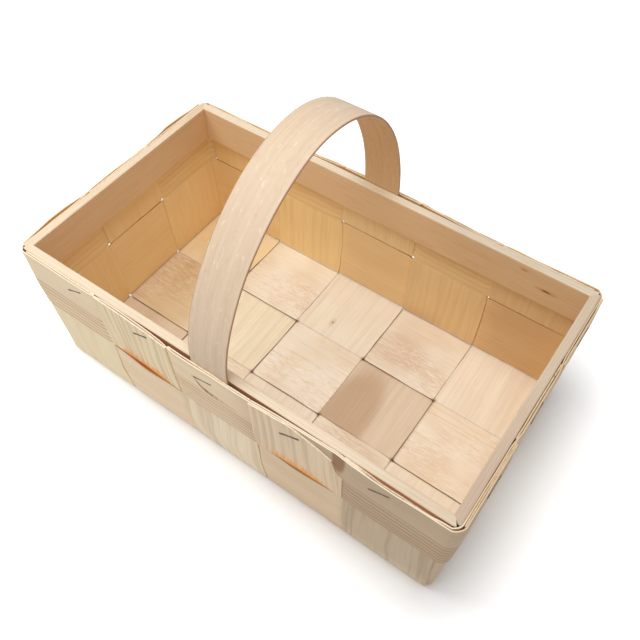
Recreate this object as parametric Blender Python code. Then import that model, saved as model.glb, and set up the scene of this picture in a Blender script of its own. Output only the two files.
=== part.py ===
"""A woven chip-wood berry basket with a bent carrying handle.

Crosswise and lengthwise splints are woven into a floor and turn up as stakes. Two hoops of
splint weave round the stakes, four mitred slats stiffen the rim inside, and wire staples
fasten the stakes, the upper hoop and the feet of the handle to the slats.
Lengths are in metres. The origin is the middle of the floor's underside, +X runs along the
basket, -Y is the front wall and +Z is up.
"""
import math

import bmesh
import bpy
from mathutils import Vector

# Splints and their weave
splint_thickness = 0.0010
layer_clearance = 0.0003
splint_side_gap = 0.0024
cross_splint_width = 0.0666
long_splint_width = 0.0616
cross_splint_names = ("a", "b", "c", "d", "e")
long_splint_names = ("front", "middle", "back")
floor_edge_clearance = 0.0018
bottom_bend_radius = 0.0030
lower_weaver_width = 0.0624
floor_pillow = 0.0010
long_wall_pillow = 0.0022
short_wall_pillow = 0.0008
left_rim_pillow = 0.0026
inside_pillow_share = 0.4

# Walls and rim
rim_height = 0.128
long_wall_flare = 0.0030
short_wall_flare = 0.0055
strip_top_drop = 0.0010
slat_thickness = 0.0065
slat_height = 0.032
slat_edge_round = 0.0006
mitre_setback = 0.0003
slat_corner_radius = 0.0045
tight_standoff = 0.0002
side_standoff = 0.0006
corner_margin = 0.0002
splice_end_inset = 0.0025

# Handle
handle_width = 0.0310
handle_thickness = 0.0020
handle_height = 0.2465
handle_foot_lap = 0.029
handle_lean = 0.0090
front_leg_reach = 0.0545
front_crown_reach = 0.055
back_leg_reach = 0.0685
back_crown_reach = 0.051

# Staples
staple_crown = 0.0175
staple_wire_width = 0.0015
staple_wire_thickness = 0.0008
staple_tip_cover = 0.0008
long_wall_staple_shift_shares = (0.20, 0.12, -0.075, -0.07, -0.13)
long_wall_staple_height_shares = (0.70, 0.70, 0.60, 0.60, 0.66)
long_wall_staple_tilts = (25.0, 26.0, 15.0, 24.0, 28.0)
short_wall_staple_shift_shares = (0.06, -0.05, 0.08)
short_wall_staple_height_shares = (0.62, 0.68, 0.60)
short_wall_staple_tilts = (22.0, 27.0, 18.0)

# Smoothness of the solids
pillow_steps = 4
crossing_steps = 3
bow_steps = 6
bend_steps = 5
corner_steps = 6
handle_steps = 22

# Worked out from the sizes above
layer_pitch = splint_thickness + layer_clearance
half_thickness = splint_thickness / 2
half_pitch = layer_pitch / 2
cross_count = len(cross_splint_names)
long_count = len(long_splint_names)
cross_pitch = cross_splint_width + splint_side_gap
long_pitch = long_splint_width + splint_side_gap
cross_centres = [(k - (cross_count - 1) / 2) * cross_pitch for k in range(cross_count)]
long_centres = [(r - (long_count - 1) / 2) * long_pitch for r in range(long_count)]
cross_edge = cross_centres[-1] + cross_splint_width / 2
long_edge = long_centres[-1] + long_splint_width / 2
floor_half_length = cross_edge + floor_edge_clearance
floor_half_width = long_edge + floor_edge_clearance
slat_outer_x = floor_half_length + short_wall_flare
slat_outer_y = floor_half_width + long_wall_flare
slat_bottom = rim_height - slat_height
floor_level = half_thickness + half_pitch
bend_top = floor_level + bottom_bend_radius
weaver_bottom = bend_top + layer_clearance
weaver_seam_low = weaver_bottom + lower_weaver_width
weaver_seam_high = weaver_seam_low + splint_side_gap
strip_top = rim_height - strip_top_drop
handle_standoff = handle_thickness + layer_clearance
handle_zone = cross_splint_width / 2 + splint_side_gap
weave_clearance = layer_clearance + half_thickness + half_pitch
foot_distance = slat_outer_y + layer_clearance + handle_thickness / 2
foot_bottom = rim_height - handle_foot_lap

# The walls run round the basket the way the hoops do: front, right, back, left
FRONT, RIGHT, BACK, LEFT = range(4)
wall_words = ("front", "right", "back", "left")
wall_out = [Vector((0, -1, 0)), Vector((1, 0, 0)), Vector((0, 1, 0)), Vector((-1, 0, 0))]


def clear_scene():
    """Empty the file the script is run in."""
    for thing in list(bpy.data.objects):
        bpy.data.objects.remove(thing, do_unlink=True)


def material(name, color, roughness, metallic=0.0):
    """A plain surface finish in the part's own colour."""
    finish = bpy.data.materials.new(name)
    finish.use_nodes = True
    shader = finish.node_tree.nodes["Principled BSDF"]
    shader.inputs["Base Color"].default_value = (*color, 1.0)
    shader.inputs["Roughness"].default_value = roughness
    shader.inputs["Metallic"].default_value = metallic
    finish.diffuse_color = (*color, 1.0)
    return finish


def blend(low, high, share):
    """Straight mix of two values."""
    return low + (high - low) * share


def ease(share):
    """Smooth step from 0 to 1."""
    return share * share * (3 - 2 * share)


def pillow(share):
    """Hump that is 0 at both ends of a cell and 1 in its middle."""
    return math.sin(math.pi * share) ** 2


def between(low, high, steps):
    """Places from low to high, both included."""
    return [blend(low, high, i / steps) for i in range(steps + 1)]


def is_long_wall(wall):
    return wall in (FRONT, BACK)


def standoff(wall, place):
    """Extra distance from slat to weave at the rim, at an x or y along the wall."""
    far = abs(place)
    if is_long_wall(wall):
        low, high, middle = handle_zone, handle_zone + cross_splint_width, handle_standoff
    else:
        low, high, middle = long_splint_width / 2, long_edge, side_standoff
    share = min(max(far - low, 0.0) / (high - low), 1.0)
    return blend(middle, tight_standoff, share)


def weave_distance(wall, place, height):
    """Distance from the middle of the basket to the surface between the two weave layers."""
    rise = min(height / slat_bottom, 1.0)
    floor_half = floor_half_width if is_long_wall(wall) else floor_half_length
    flare = long_wall_flare if is_long_wall(wall) else short_wall_flare
    return floor_half + (flare + standoff(wall, place)) * rise + weave_clearance


def layer_shift(layer):
    """Outward shift of a layer's middle: layer 0 is inside, 1 outside, 2 over both."""
    return (layer - 1 / 2) * layer_pitch


def finished_piece(name, form, finish=None):
    """Turn a closed form into an object of the scene."""
    bmesh.ops.recalc_face_normals(form, faces=form.faces[:])
    mesh = bpy.data.meshes.new(name)
    form.to_mesh(mesh)
    form.free()
    if finish:
        mesh.materials.append(finish)
    piece = bpy.data.objects.new(name, mesh)
    bpy.context.scene.collection.objects.link(piece)
    return piece


def closed_ribbon(name, grid_in, grid_out, finish):
    """Close two equal grids of points, an inner and an outer skin, into one solid."""
    rows, columns = len(grid_in), len(grid_in[0])
    form = bmesh.new()
    inner = [[form.verts.new(point) for point in row] for row in grid_in]
    outer = [[form.verts.new(point) for point in row] for row in grid_out]
    for i in range(rows - 1):
        for j in range(columns - 1):
            form.faces.new((inner[i][j], inner[i][j + 1], inner[i + 1][j + 1], inner[i + 1][j]))
            form.faces.new((outer[i][j], outer[i + 1][j], outer[i + 1][j + 1], outer[i][j + 1]))
        form.faces.new((inner[i][0], inner[i + 1][0], outer[i + 1][0], outer[i][0]))
        form.faces.new((inner[i][-1], outer[i][-1], outer[i + 1][-1], inner[i + 1][-1]))
    for j in range(columns - 1):
        form.faces.new((inner[0][j], outer[0][j], outer[0][j + 1], inner[0][j + 1]))
        form.faces.new((inner[-1][j], inner[-1][j + 1], outer[-1][j + 1], outer[-1][j]))
    bmesh.ops.triangulate(form, faces=form.faces[:])
    return finished_piece(name, form, finish)


def cut_slots(piece, cutter):
    """Open the staple legs' slots in a piece."""
    slots = piece.modifiers.new("staple_slots", "BOOLEAN")
    slots.operation = "DIFFERENCE"
    slots.solver = "EXACT"
    slots.object = cutter


def cell_places(low, high, inward, swell, steps):
    """Stations over one cell of the weave, swelling by a pillow in its middle."""
    shares = [i / steps for i in range(steps + 1)]
    return [(blend(low, high, s), inward + swell * pillow(s)) for s in shares]


def crossing_places(low, high, inward_low, inward_high):
    """Stations inside the narrow gap where a splint changes layer."""
    shares = [i / crossing_steps for i in range(1, crossing_steps)]
    return [(blend(low, high, s), blend(inward_low, inward_high, ease(s))) for s in shares]


def floor_places(cells):
    """Stations of a splint along the floor, from cells of (low, high, on_top)."""
    places = []
    for number, (low, high, on_top) in enumerate(cells):
        inward = half_pitch if on_top else -half_pitch
        swell = floor_pillow if on_top else 0.0
        if number:
            last_place, last_inward = places[-1]
            places += crossing_places(last_place, low, last_inward, inward)
        places += cell_places(low, high, inward, swell, pillow_steps)
    return places


def lower_swell(wall, layer):
    """Outward pillow of a lower cell: large outside, small and inward inside."""
    pillow_height = long_wall_pillow if is_long_wall(wall) else short_wall_pillow
    return pillow_height if layer else -pillow_height * inside_pillow_share


def rim_bow(wall, number, share, height):
    """Outward bow across the free top of a left stake that lies outside the hoop."""
    if wall != LEFT or not stake_layers(wall, number)[1]:
        return 0.0
    rise = max(height - weaver_seam_high, 0.0) / (strip_top - weaver_seam_high)
    return left_rim_pillow * pillow(share) * rise


def wall_places(wall, lower_layer, upper_layer):
    """Stations of a stake from the floor bend up to the rim: height and inward shift."""
    low_in, high_in = -layer_shift(lower_layer), -layer_shift(upper_layer)
    swell = -lower_swell(wall, lower_layer)
    places = cell_places(weaver_bottom, weaver_seam_low, low_in, swell, pillow_steps)
    places += crossing_places(weaver_seam_low, weaver_seam_high, low_in, high_in)
    places += [(height, high_in) for height in (weaver_seam_high, slat_bottom, strip_top)]
    return places


def splint_stations(wall_low, wall_high, cells, layers_low, layers_high):
    """Stations of a whole splint: down one wall, across the floor and up the other."""
    floor = floor_places(cells)
    stations = []
    for side, wall, layers in ((-1, wall_low, layers_low), (1, wall_high, layers_high)):
        floor_inward = floor[0][1] if side < 0 else floor[-1][1]
        climb = [("wall", side, wall, height, inward) for height, inward in wall_places(wall, *layers)]
        wall_inward = -layer_shift(layers[0])
        bend = []
        for step in range(bend_steps + 1):
            share = step / bend_steps
            bend.append(("bend", side, wall, share, blend(floor_inward, wall_inward, ease(share))))
        rising = bend + climb
        if side < 0:
            stations += rising[::-1]
            stations += [("floor", side, wall, place, inward) for place, inward in floor]
        else:
            stations += rising
    return stations


def station_point(station, across):
    """Point between the layers and the inward direction, as (run, height) pairs."""
    kind, side, wall, value, inward = station
    if kind == "floor":
        return (value, floor_level), (0.0, 1.0), inward
    if kind == "wall":
        return (side * weave_distance(wall, across, value), value), (-side, 0.0), inward
    turn = value * math.pi / 2
    centre = weave_distance(wall, across, bend_top) - bottom_bend_radius
    run = side * (centre + bottom_bend_radius * math.sin(turn))
    height = bend_top - bottom_bend_radius * math.cos(turn)
    return (run, height), (-side * math.sin(turn), math.cos(turn)), inward


def woven_splint(name, number, centre, width, along_y, stations, finish, cutter):
    """One splint of the floor with its two stakes."""
    shares = (0, 1) if along_y else between(0, 1, bow_steps)
    skins = []
    for face in (half_thickness, -half_thickness):
        grid = []
        for station in stations:
            row = []
            for share in shares:
                across = centre + width * (share - 1 / 2)
                (run, height), (lean, up), inward = station_point(station, across)
                if station[0] == "wall":
                    inward -= rim_bow(station[2], number, share, height)
                run += lean * (inward + face)
                height += up * (inward + face)
                row.append((across, run, height) if along_y else (run, across, height))
            grid.append(row)
        skins.append(grid)
    piece = closed_ribbon(name, skins[0], skins[1], finish)
    cut_slots(piece, cutter)
    return piece


def stake_layers(wall, number):
    """Layers of a stake in the lower and in the upper row of its wall."""
    if is_long_wall(wall):
        outside_below = number % 2 == 0
    else:
        outside_below = number % 2 == 1
    lower, upper = (1, 0) if outside_below else (0, 1)
    if wall == FRONT and number == cross_count - 2:
        upper = 2
    return lower, upper


def make_splints(finish, cutter):
    """All splints of the floor, over and under each other by turns."""
    rows = [(y - long_splint_width / 2, y + long_splint_width / 2) for y in long_centres]
    columns = [(x - cross_splint_width / 2, x + cross_splint_width / 2) for x in cross_centres]
    for k, letter in enumerate(cross_splint_names):
        cells = [(*row, (k + r) % 2 == 0) for r, row in enumerate(rows)]
        layers = stake_layers(FRONT, k), stake_layers(BACK, k)
        stations = splint_stations(FRONT, BACK, cells, *layers)
        name = "cross_splint_" + letter
        woven_splint(name, k, cross_centres[k], cross_splint_width, True, stations, finish, cutter)
    for r, word in enumerate(long_splint_names):
        cells = [(*column, (k + r) % 2 == 1) for k, column in enumerate(columns)]
        layers = stake_layers(LEFT, r), stake_layers(RIGHT, r)
        stations = splint_stations(LEFT, RIGHT, cells, *layers)
        name = "long_splint_" + word
        woven_splint(name, r, long_centres[r], long_splint_width, False, stations, finish, cutter)


def wall_stakes(wall):
    """Stakes of a wall in the order the hoops pass them: number, low and high place."""
    centres = cross_centres if is_long_wall(wall) else long_centres
    width = cross_splint_width if is_long_wall(wall) else long_splint_width
    numbers = list(range(len(centres)))
    sign = 1 if wall in (FRONT, RIGHT) else -1
    stakes = []
    for number in numbers[::sign]:
        middle = sign * centres[number]
        stakes.append((number, middle - width / 2, middle + width / 2))
    return stakes


def hoop_visits(row):
    """Every stake the hoop of a row passes: wall, low place, high place, layer, swell."""
    visits = []
    for wall in (FRONT, RIGHT, BACK, LEFT):
        for number, low, high in wall_stakes(wall):
            layer = 1 - min(stake_layers(wall, number)[row], 1)
            swell = 0.0 if row else lower_swell(wall, layer)
            visits.append((wall, low, high, layer, swell))
    return visits


def lapped(visits, start, lap_layers):
    """Visits of a hoop that starts at one stake and ends on top of its own beginning."""
    lap = [list(visit) for visit in visits[start:start + len(lap_layers)]]
    for visit, layer in zip(lap, lap_layers):
        visit[3] = layer
    lap[-1][2] -= splice_end_inset
    return visits[start:] + visits[:start] + lap


def wall_place(wall, along):
    """The x or y of a place that is measured the way the hoops run."""
    return along if wall in (FRONT, RIGHT) else -along


def corner_radius(height):
    """Bend radius at a corner: tight at the floor, round the slats' corner at the rim."""
    at_floor = floor_edge_clearance + weave_clearance - corner_margin
    at_rim = slat_corner_radius + tight_standoff + weave_clearance
    return blend(at_floor, at_rim, min(height / slat_bottom, 1.0))


def hoop_point(wall, along, height, out):
    """Point on a straight stretch of a hoop."""
    tangent = wall_out[(wall + 1) % 4]
    distance = weave_distance(wall, wall_place(wall, along), height)
    return wall_out[wall] * (distance + out) + tangent * along + Vector((0, 0, height))


def corner_point(wall, share, height, out):
    """Point on the bend after a wall: a quarter circle that widens with height."""
    following = (wall + 1) % 4
    end = wall_place(wall, cross_edge if is_long_wall(wall) else long_edge)
    start = wall_place(following, -long_edge if is_long_wall(wall) else -cross_edge)
    radius = corner_radius(height)
    turn = share * math.pi / 2
    centre = wall_out[wall] * (weave_distance(wall, end, height) - radius)
    centre += wall_out[following] * (weave_distance(following, start, height) - radius)
    arm = wall_out[wall] * math.cos(turn) + wall_out[following] * math.sin(turn)
    return centre + arm * (radius + out) + Vector((0, 0, height))


def hoop_columns(visits, heights):
    """Pairs of inner and outer points up the hoop, one pair of columns for each station."""
    columns = []

    def add(maker, wall, place, out):
        inner = [maker(wall, place, height, out - half_thickness) for height in heights]
        outer = [maker(wall, place, height, out + half_thickness) for height in heights]
        columns.append((inner, outer))

    for number, (wall, low, high, layer, swell) in enumerate(visits):
        out = layer_shift(layer)
        for place, shift in cell_places(low, high, out, swell, pillow_steps):
            add(hoop_point, wall, place, shift)
        if number + 1 == len(visits):
            break
        next_wall, next_low, _, next_layer, _ = visits[number + 1]
        next_out = layer_shift(next_layer)
        if next_wall == wall:
            for place, shift in crossing_places(high, next_low, out, next_out):
                add(hoop_point, wall, place, shift)
        else:
            for share in between(0, 1, corner_steps):
                add(corner_point, wall, share, blend(out, next_out, ease(share)))
    return columns


def make_hoop(name, visits, heights, finish):
    """One woven hoop with free ends."""
    columns = hoop_columns(visits, heights)
    inner = [column[0] for column in columns]
    outer = [column[1] for column in columns]
    return closed_ribbon(name, inner, outer, finish)


def make_slat(name, wall, finish, cutter):
    """One rim slat, mitred at both ends."""
    half_outer = slat_outer_x if is_long_wall(wall) else slat_outer_y
    distance = slat_outer_y if is_long_wall(wall) else slat_outer_x
    out, tangent = wall_out[wall], wall_out[(wall + 1) % 4]
    corner = half_outer - slat_corner_radius - mitre_setback
    outline = []
    for side in (-1, 1):
        end = [(half_outer - slat_thickness - mitre_setback, slat_thickness)]
        for turn in between(math.pi / 4, 0, corner_steps // 2):
            reach = corner + slat_corner_radius * math.sin(turn)
            end.append((reach, slat_corner_radius * (1 - math.cos(turn))))
        points = [out * (distance - depth) + tangent * (side * along) for along, depth in end]
        outline += points[::side]
    form = bmesh.new()
    low = [form.verts.new(point + Vector((0, 0, slat_bottom))) for point in outline]
    base = form.faces.new(low)
    raised = bmesh.ops.extrude_face_region(form, geom=[base])
    lift = [item for item in raised["geom"] if isinstance(item, bmesh.types.BMVert)]
    bmesh.ops.translate(form, verts=lift, vec=Vector((0, 0, slat_height)))
    slat = finished_piece(name, form, finish)
    rounded = slat.modifiers.new("edges", "BEVEL")
    rounded.width = slat_edge_round
    rounded.segments = 1
    cut_slots(slat, cutter)
    return slat


def cubic(start, leave, arrive, end, share):
    """Point on a cubic curve through start and end."""
    rest = 1 - share
    weights = rest ** 3, 3 * rest ** 2 * share, 3 * rest * share ** 2, share ** 3
    return sum((point * weight for point, weight in zip((start, leave, arrive, end), weights)),
               Vector((0, 0, 0)))


def handle_line():
    """Middle line of the handle from its front foot over the crown to its back foot."""
    crown = Vector((0, handle_lean, handle_height - handle_thickness / 2))
    line = []
    for side, leg_reach, crown_reach in ((-1, front_leg_reach, front_crown_reach),
                                         (1, back_leg_reach, back_crown_reach)):
        rim = Vector((0, side * foot_distance, rim_height))
        leave = rim + Vector((0, 0, leg_reach))
        arrive = crown + Vector((0, side * crown_reach, 0))
        half = [Vector((0, side * foot_distance, foot_bottom))]
        half += [cubic(rim, leave, arrive, crown, i / handle_steps) for i in range(handle_steps)]
        line.append(half)
    return line[0] + [crown] + line[1][::-1]


def make_handle(finish, cutter):
    """The bent strip, of even thickness along its middle line."""
    line = handle_line()
    skins = {half: [] for half in (-1, 1)}
    for number, point in enumerate(line):
        before = line[max(number - 1, 0)]
        after = line[min(number + 1, len(line) - 1)]
        tangent = (after - before).normalized()
        if number <= 1 or number >= len(line) - 2:
            tangent = Vector((0, 0, 1 if number <= 1 else -1))
        normal = Vector((0, -tangent.z, tangent.y))
        for half, grid in skins.items():
            middle = point + normal * (half * handle_thickness / 2)
            grid.append([middle + Vector((side * handle_width / 2, 0, 0)) for side in (-1, 1)])
    piece = closed_ribbon("handle", skins[-1], skins[1], finish)
    cut_slots(piece, cutter)
    return piece


def box_mesh(form, middle, across, width, deep, depth, up, height):
    """Add a box given by its middle and its three half-axes."""
    corners = {}
    for a in (-1, 1):
        for b in (-1, 1):
            for c in (-1, 1):
                offset = across * (a * width / 2) + deep * (b * depth / 2) + up * (c * height / 2)
                corners[a, b, c] = form.verts.new(middle + offset)
    for axis in range(3):
        for side in (-1, 1):
            ring = [(-1, -1), (1, -1), (1, 1), (-1, 1)]
            keys = [key[:axis] + (side,) + key[axis:] for key in ring]
            form.faces.new([corners[key] for key in keys])


def outermost_layer(wall, number):
    """Number of the layer that a staple's crown lies on."""
    lapped = wall == FRONT and number >= cross_count - 2 or wall == RIGHT and number == 0
    return 2 if lapped else 1


def staple_places(wall):
    """The staples of a wall by name: middle, height, tilt and what lies below the crown."""
    on_long = is_long_wall(wall)
    words = cross_splint_names if on_long else long_splint_names
    shifts = long_wall_staple_shift_shares if on_long else short_wall_staple_shift_shares
    rises = long_wall_staple_height_shares if on_long else short_wall_staple_height_shares
    tilts = long_wall_staple_tilts if on_long else short_wall_staple_tilts
    places = {}
    for order, (number, low, high) in enumerate(wall_stakes(wall)):
        name = "staple_" + wall_words[wall] + "_" + words[number]
        along = (low + high) / 2 + shifts[order] * (high - low)
        height = slat_bottom + rises[order] * slat_height
        below = number, low, high
        places[name] = along, height, math.radians(tilts[order]), below
    return places


def staple_frame(wall, place):
    """Directions and the two leg lines of a staple."""
    along, height, tilt, (number, low, high) = place
    out, tangent = wall_out[wall], wall_out[(wall + 1) % 4]
    crown_way = tangent * math.cos(tilt) + Vector((0, 0, math.sin(tilt)))
    legs = []
    for side in (-1, 1):
        reach = side * (staple_crown - staple_wire_thickness) / 2
        leg_along = along + reach * math.cos(tilt)
        leg_height = height + reach * math.sin(tilt)
        weave = weave_distance(wall, wall_place(wall, leg_along), leg_height)
        bow = rim_bow(wall, number, (leg_along - low) / (high - low), leg_height)
        surface = weave + layer_shift(outermost_layer(wall, number)) + half_thickness + bow
        crown_out = surface + layer_clearance + staple_wire_thickness / 2
        foot = tangent * leg_along + Vector((0, 0, leg_height))
        legs.append((foot, crown_out))
    return out, crown_way, out.cross(crown_way), legs


def leg_tip_distance(wall):
    """How far from the middle of the basket the points of the staples end."""
    distance = slat_outer_y if is_long_wall(wall) else slat_outer_x
    return distance - slat_thickness + staple_tip_cover


def make_staple(name, wall, place, finish):
    """One bent wire with a crown and two legs that end inside the slat."""
    out, crown_way, wire_way, legs = staple_frame(wall, place)
    tip = leg_tip_distance(wall)
    half_wire = staple_wire_thickness / 2
    (foot_low, crown_low), (foot_high, crown_high) = legs
    turns = (foot_low, tip, -1, 0), (foot_low, crown_low, -1, 1), \
        (foot_high, crown_high, 1, 1), (foot_high, tip, 1, 0)
    form = bmesh.new()
    rings = []
    for foot, distance, side, raised in turns:
        ring = []
        for skin, edge in ((1, -1), (1, 1), (-1, 1), (-1, -1)):
            point = foot + out * (distance + raised * skin * half_wire)
            point += crown_way * (side * skin * half_wire)
            ring.append(form.verts.new(point + wire_way * (edge * staple_wire_width / 2)))
        rings.append(ring)
    for ring, after in zip(rings, rings[1:]):
        for i in range(4):
            j = (i + 1) % 4
            form.faces.new((ring[i], ring[j], after[j], after[i]))
    form.faces.new(rings[0])
    form.faces.new(rings[-1])
    return finished_piece(name, form, finish)


def make_slot_cutter():
    """Boxes round all staple legs, which open their slots in wood and splints."""
    form = bmesh.new()
    for wall in (FRONT, RIGHT, BACK, LEFT):
        for place in staple_places(wall).values():
            out, crown_way, wire_way, legs = staple_frame(wall, place)
            for foot, crown_out in legs:
                low = leg_tip_distance(wall) - layer_clearance
                high = crown_out + staple_wire_thickness
                middle = foot + out * ((low + high) / 2)
                thick = staple_wire_thickness + 2 * layer_clearance
                wide = staple_wire_width + 2 * layer_clearance
                box_mesh(form, middle, crown_way, thick, out, high - low, wire_way, wide)
    cutter = finished_piece("staple_slots", form)
    cutter.hide_render = True
    cutter.display_type = "WIRE"
    return cutter


def build():
    """Make every piece of the basket."""
    clear_scene()
    splint_wood = material("splint_wood", (0.83, 0.66, 0.44), 0.55)
    slat_wood = material("slat_wood", (0.90, 0.79, 0.62), 0.6)
    handle_wood = material("handle_wood", (0.78, 0.62, 0.46), 0.5)
    wire_steel = material("staple_steel", (0.20, 0.19, 0.19), 0.4, 0.9)
    cutter = make_slot_cutter()
    make_splints(splint_wood, cutter)
    visits = lapped(hoop_visits(0), cross_count + long_count + 1, (2,))
    make_hoop("lower_weaver", visits, (weaver_bottom, weaver_seam_low), splint_wood)
    visits = lapped(hoop_visits(1), cross_count - 2, (1, 2, 2))
    heights = weaver_seam_high, slat_bottom, strip_top
    upper = make_hoop("upper_weaver", visits, heights, splint_wood)
    cut_slots(upper, cutter)
    for wall, word in enumerate(wall_words):
        make_slat("rim_slat_" + word, wall, slat_wood, cutter)
        for name, place in staple_places(wall).items():
            make_staple(name, wall, place, wire_steel)
    make_handle(handle_wood, cutter)


build()
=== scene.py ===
"""A woven chip-wood berry basket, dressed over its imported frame.

Every splint, hoop, slat, staple and the handle is a surface worked out on a grid of two
parameters. Lengths are in metres, +X runs along the basket, -Y is its front, +Z is up.
"""

import bpy
import numpy as np
from bpy.props import FloatProperty, FloatVectorProperty, PointerProperty
from mathutils import Matrix, Vector


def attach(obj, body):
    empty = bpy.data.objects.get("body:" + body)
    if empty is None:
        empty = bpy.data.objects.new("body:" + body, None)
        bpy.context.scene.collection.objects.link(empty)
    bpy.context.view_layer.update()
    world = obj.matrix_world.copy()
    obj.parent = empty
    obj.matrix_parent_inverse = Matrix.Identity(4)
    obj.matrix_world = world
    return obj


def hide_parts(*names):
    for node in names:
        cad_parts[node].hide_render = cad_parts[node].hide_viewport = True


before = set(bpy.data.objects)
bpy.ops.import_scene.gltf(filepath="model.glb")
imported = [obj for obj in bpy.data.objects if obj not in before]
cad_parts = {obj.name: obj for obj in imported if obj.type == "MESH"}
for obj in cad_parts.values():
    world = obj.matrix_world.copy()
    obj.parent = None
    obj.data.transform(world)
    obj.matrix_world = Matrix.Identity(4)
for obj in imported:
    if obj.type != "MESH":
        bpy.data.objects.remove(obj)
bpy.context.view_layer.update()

bl_info = {
    "name": "Berry basket",
    "version": (1, 0, 0),
    "blender": (4, 5, 0),
    "location": "View3D > Sidebar > Basket",
    "description": "Makes the splints, rim, handle and staples of a woven berry basket",
    "category": "Object",
}

# Sizes of the frame
splint_thickness = 0.0010
cross_pitch, long_pitch = 0.0690, 0.0640
cross_width, long_width = 0.0666, 0.0616
cross_letters = "abcde"
long_words = ("front", "middle", "back")
cross_edge, long_edge = 0.1713, 0.0948
floor_half_length, floor_half_width = 0.1731, 0.0966
long_wall_flare, short_wall_flare = 0.0030, 0.0055
long_wall_pillow, short_wall_pillow, inside_pillow_share = 0.0022, 0.0008, 0.4
shared_pillow = 0.65
slat_outer_x, slat_outer_y = 0.1786, 0.0996
slat_thickness, slat_height, slat_bottom = 0.0065, 0.032, 0.096
slat_corner_radius = 0.0045
rim_height, strip_top = 0.128, 0.1276
tight_standoff, side_standoff, handle_standoff, handle_zone = 0.00006, 0.0003, 0.0023, 0.0357
weave_clearance = 0.00119
bend_top, weaver_bottom, row_seam = 0.00415, 0.00445, 0.06805
bend_radius = 0.00265
handle_width, handle_thickness, handle_height = 0.0310, 0.0020, 0.2465
foot_distance, foot_bottom, handle_lean = 0.1009, 0.099, 0.0090
handle_reaches = ((-1, 0.0545, 0.055), (1, 0.0685, 0.051))
staple_crown, wire_width, wire_thickness = 0.0175, 0.0010, 0.0008
splice_end_inset = 0.0025

# How the strips lie
seam_gap = 0.0002
stake_reach, floor_reach, hoop_reaches, seam_shift = 0.0020, 0.0008, (0.0030, 0.0080), 0.0002
layer_step = 0.0007
lap_levels = (-0.0007, 0.00045, 0.0016)
hug_levels = (-0.0005, 0.0013)
floor_sink, floor_lap = 0.0003, 0.0004
lower_lap_under, lower_lap_over = 0.0004, 0.00152
left_bow_height = 0.0022
inner_drop, drop_from, drop_to, drop_soft = 0.0042, 0.075, 0.138, 0.02
pinch_reach, edge_wander, hoop_edge_wander = 0.0024, 0.00018, 0.00020
corner_fade, corner_length, floor_swell = 0.045, 0.009, 0.0004
mitre_gap = 0.00002
split_from, split_to = -0.0135, 0.0210
split_height, split_drop, split_fall, split_lift = 0.1020, 0.0103, 0.0045, 0.0006

FRONT, RIGHT, BACK, LEFT = range(4)
wall_words = ("front", "right", "back", "left")
wall_out = np.array(((0, -1, 0), (1, 0, 0), (0, 1, 0), (-1, 0, 0)), float)
upward = np.array((0, 0, 1.0))


# Shapes ------------------------------------------------------------------------------------

def ease(share):
    """Smooth step: 3 s^2 - 2 s^3 with s held between 0 and 1."""
    share = np.clip(share, 0, 1)
    return share * share * (3 - 2 * share)


def hump(share):
    """sin^2(pi s) between 0 and 1, and 0 outside."""
    return np.sin(np.pi * np.clip(share, 0, 1)) ** 2


def drift(seed, place, length, height):
    """Irregular line: five sines with seeded phases and wavelengths round a length."""
    dice = np.random.default_rng(seed)
    total = np.zeros(np.shape(place))
    for _ in range(5):
        wave = length * dice.uniform(0.45, 1.8)
        total = total + np.sin(2 * np.pi * (np.asarray(place) / wave + dice.uniform()))
    return total * height / 2.2


def is_long(wall):
    return wall in (FRONT, BACK)


def weave_distance(wall, place, height):
    """Middle of the basket to the surface between the layers: floor half + flare + standoff.

    The flare and the standoff grow in line with height up to the underside of the slats. Away
    from the middle the standoff falls with the square of the distance still to go. The
    lower row bulges by its share of the pillow * sin^2 over its height, less near the corners.
    """
    low, high, middle = ((handle_zone, handle_zone + cross_width, handle_standoff)
                         if is_long(wall) else (long_width / 2, long_edge, side_standoff))
    share = 1 - np.clip((high - np.abs(place)) / (high - low), 0, 1) ** 2
    standoff = middle + (tight_standoff - middle) * share
    base, flare, pillow, end = (
        (floor_half_width, long_wall_flare, long_wall_pillow, cross_edge) if is_long(wall)
        else (floor_half_length, short_wall_flare, short_wall_pillow, long_edge))
    bulge = shared_pillow * pillow * hump(height / row_seam)
    bulge = bulge * ease((end - np.abs(place)) / corner_fade)
    return base + (flare + standoff) * np.minimum(height / slat_bottom, 1) + weave_clearance + bulge


def strip_level(places, cells, reach):
    """Offset of a woven strip: a level for each cell and S-curves at the seams.

    Each seam adds (next level - level) * ease((place - seam) / (2 * reach) + 1/2), moved a
    little towards the outer cell. A cell is (low, high, level, swell).
    """
    level = np.full(np.shape(places), float(cells[0][2]))
    for before, after in zip(cells, cells[1:]):
        seam = (before[1] + after[0]) / 2
        step = after[2] - before[2]
        seam = seam + seam_shift * np.sign(step)
        level += step * ease((places - seam) / (2 * reach) + 0.5)
    return level


def strip_swell(places, cells):
    """How far a strip swells out along its middle: swell * sin^2 over each cell."""
    return sum((swell * hump((places - low) / (high - low)) for low, high, _, swell in cells),
               np.zeros(np.shape(places)))


def crown(shares):
    """How much of the swell a place over the width has: all in the middle, none at the edges."""
    return hump(shares + 0.5) ** 0.7


def seams_of(cells):
    """Places midway between neighbouring cells."""
    return [(before[1] + after[0]) / 2 for before, after in zip(cells, cells[1:])]


def wall_point(wall, out, along, height):
    """Point of a wall: normal * out + tangent * along + up * height."""
    return (wall_out[wall] * out[..., None] + wall_out[(wall + 1) % 4] * along[..., None]
            + upward * height[..., None])


def run_of(low, high, step):
    """Even places from low to high about one step apart."""
    return np.linspace(low, high, max(int(round(abs(high - low) / step)), 1) + 1)


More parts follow.
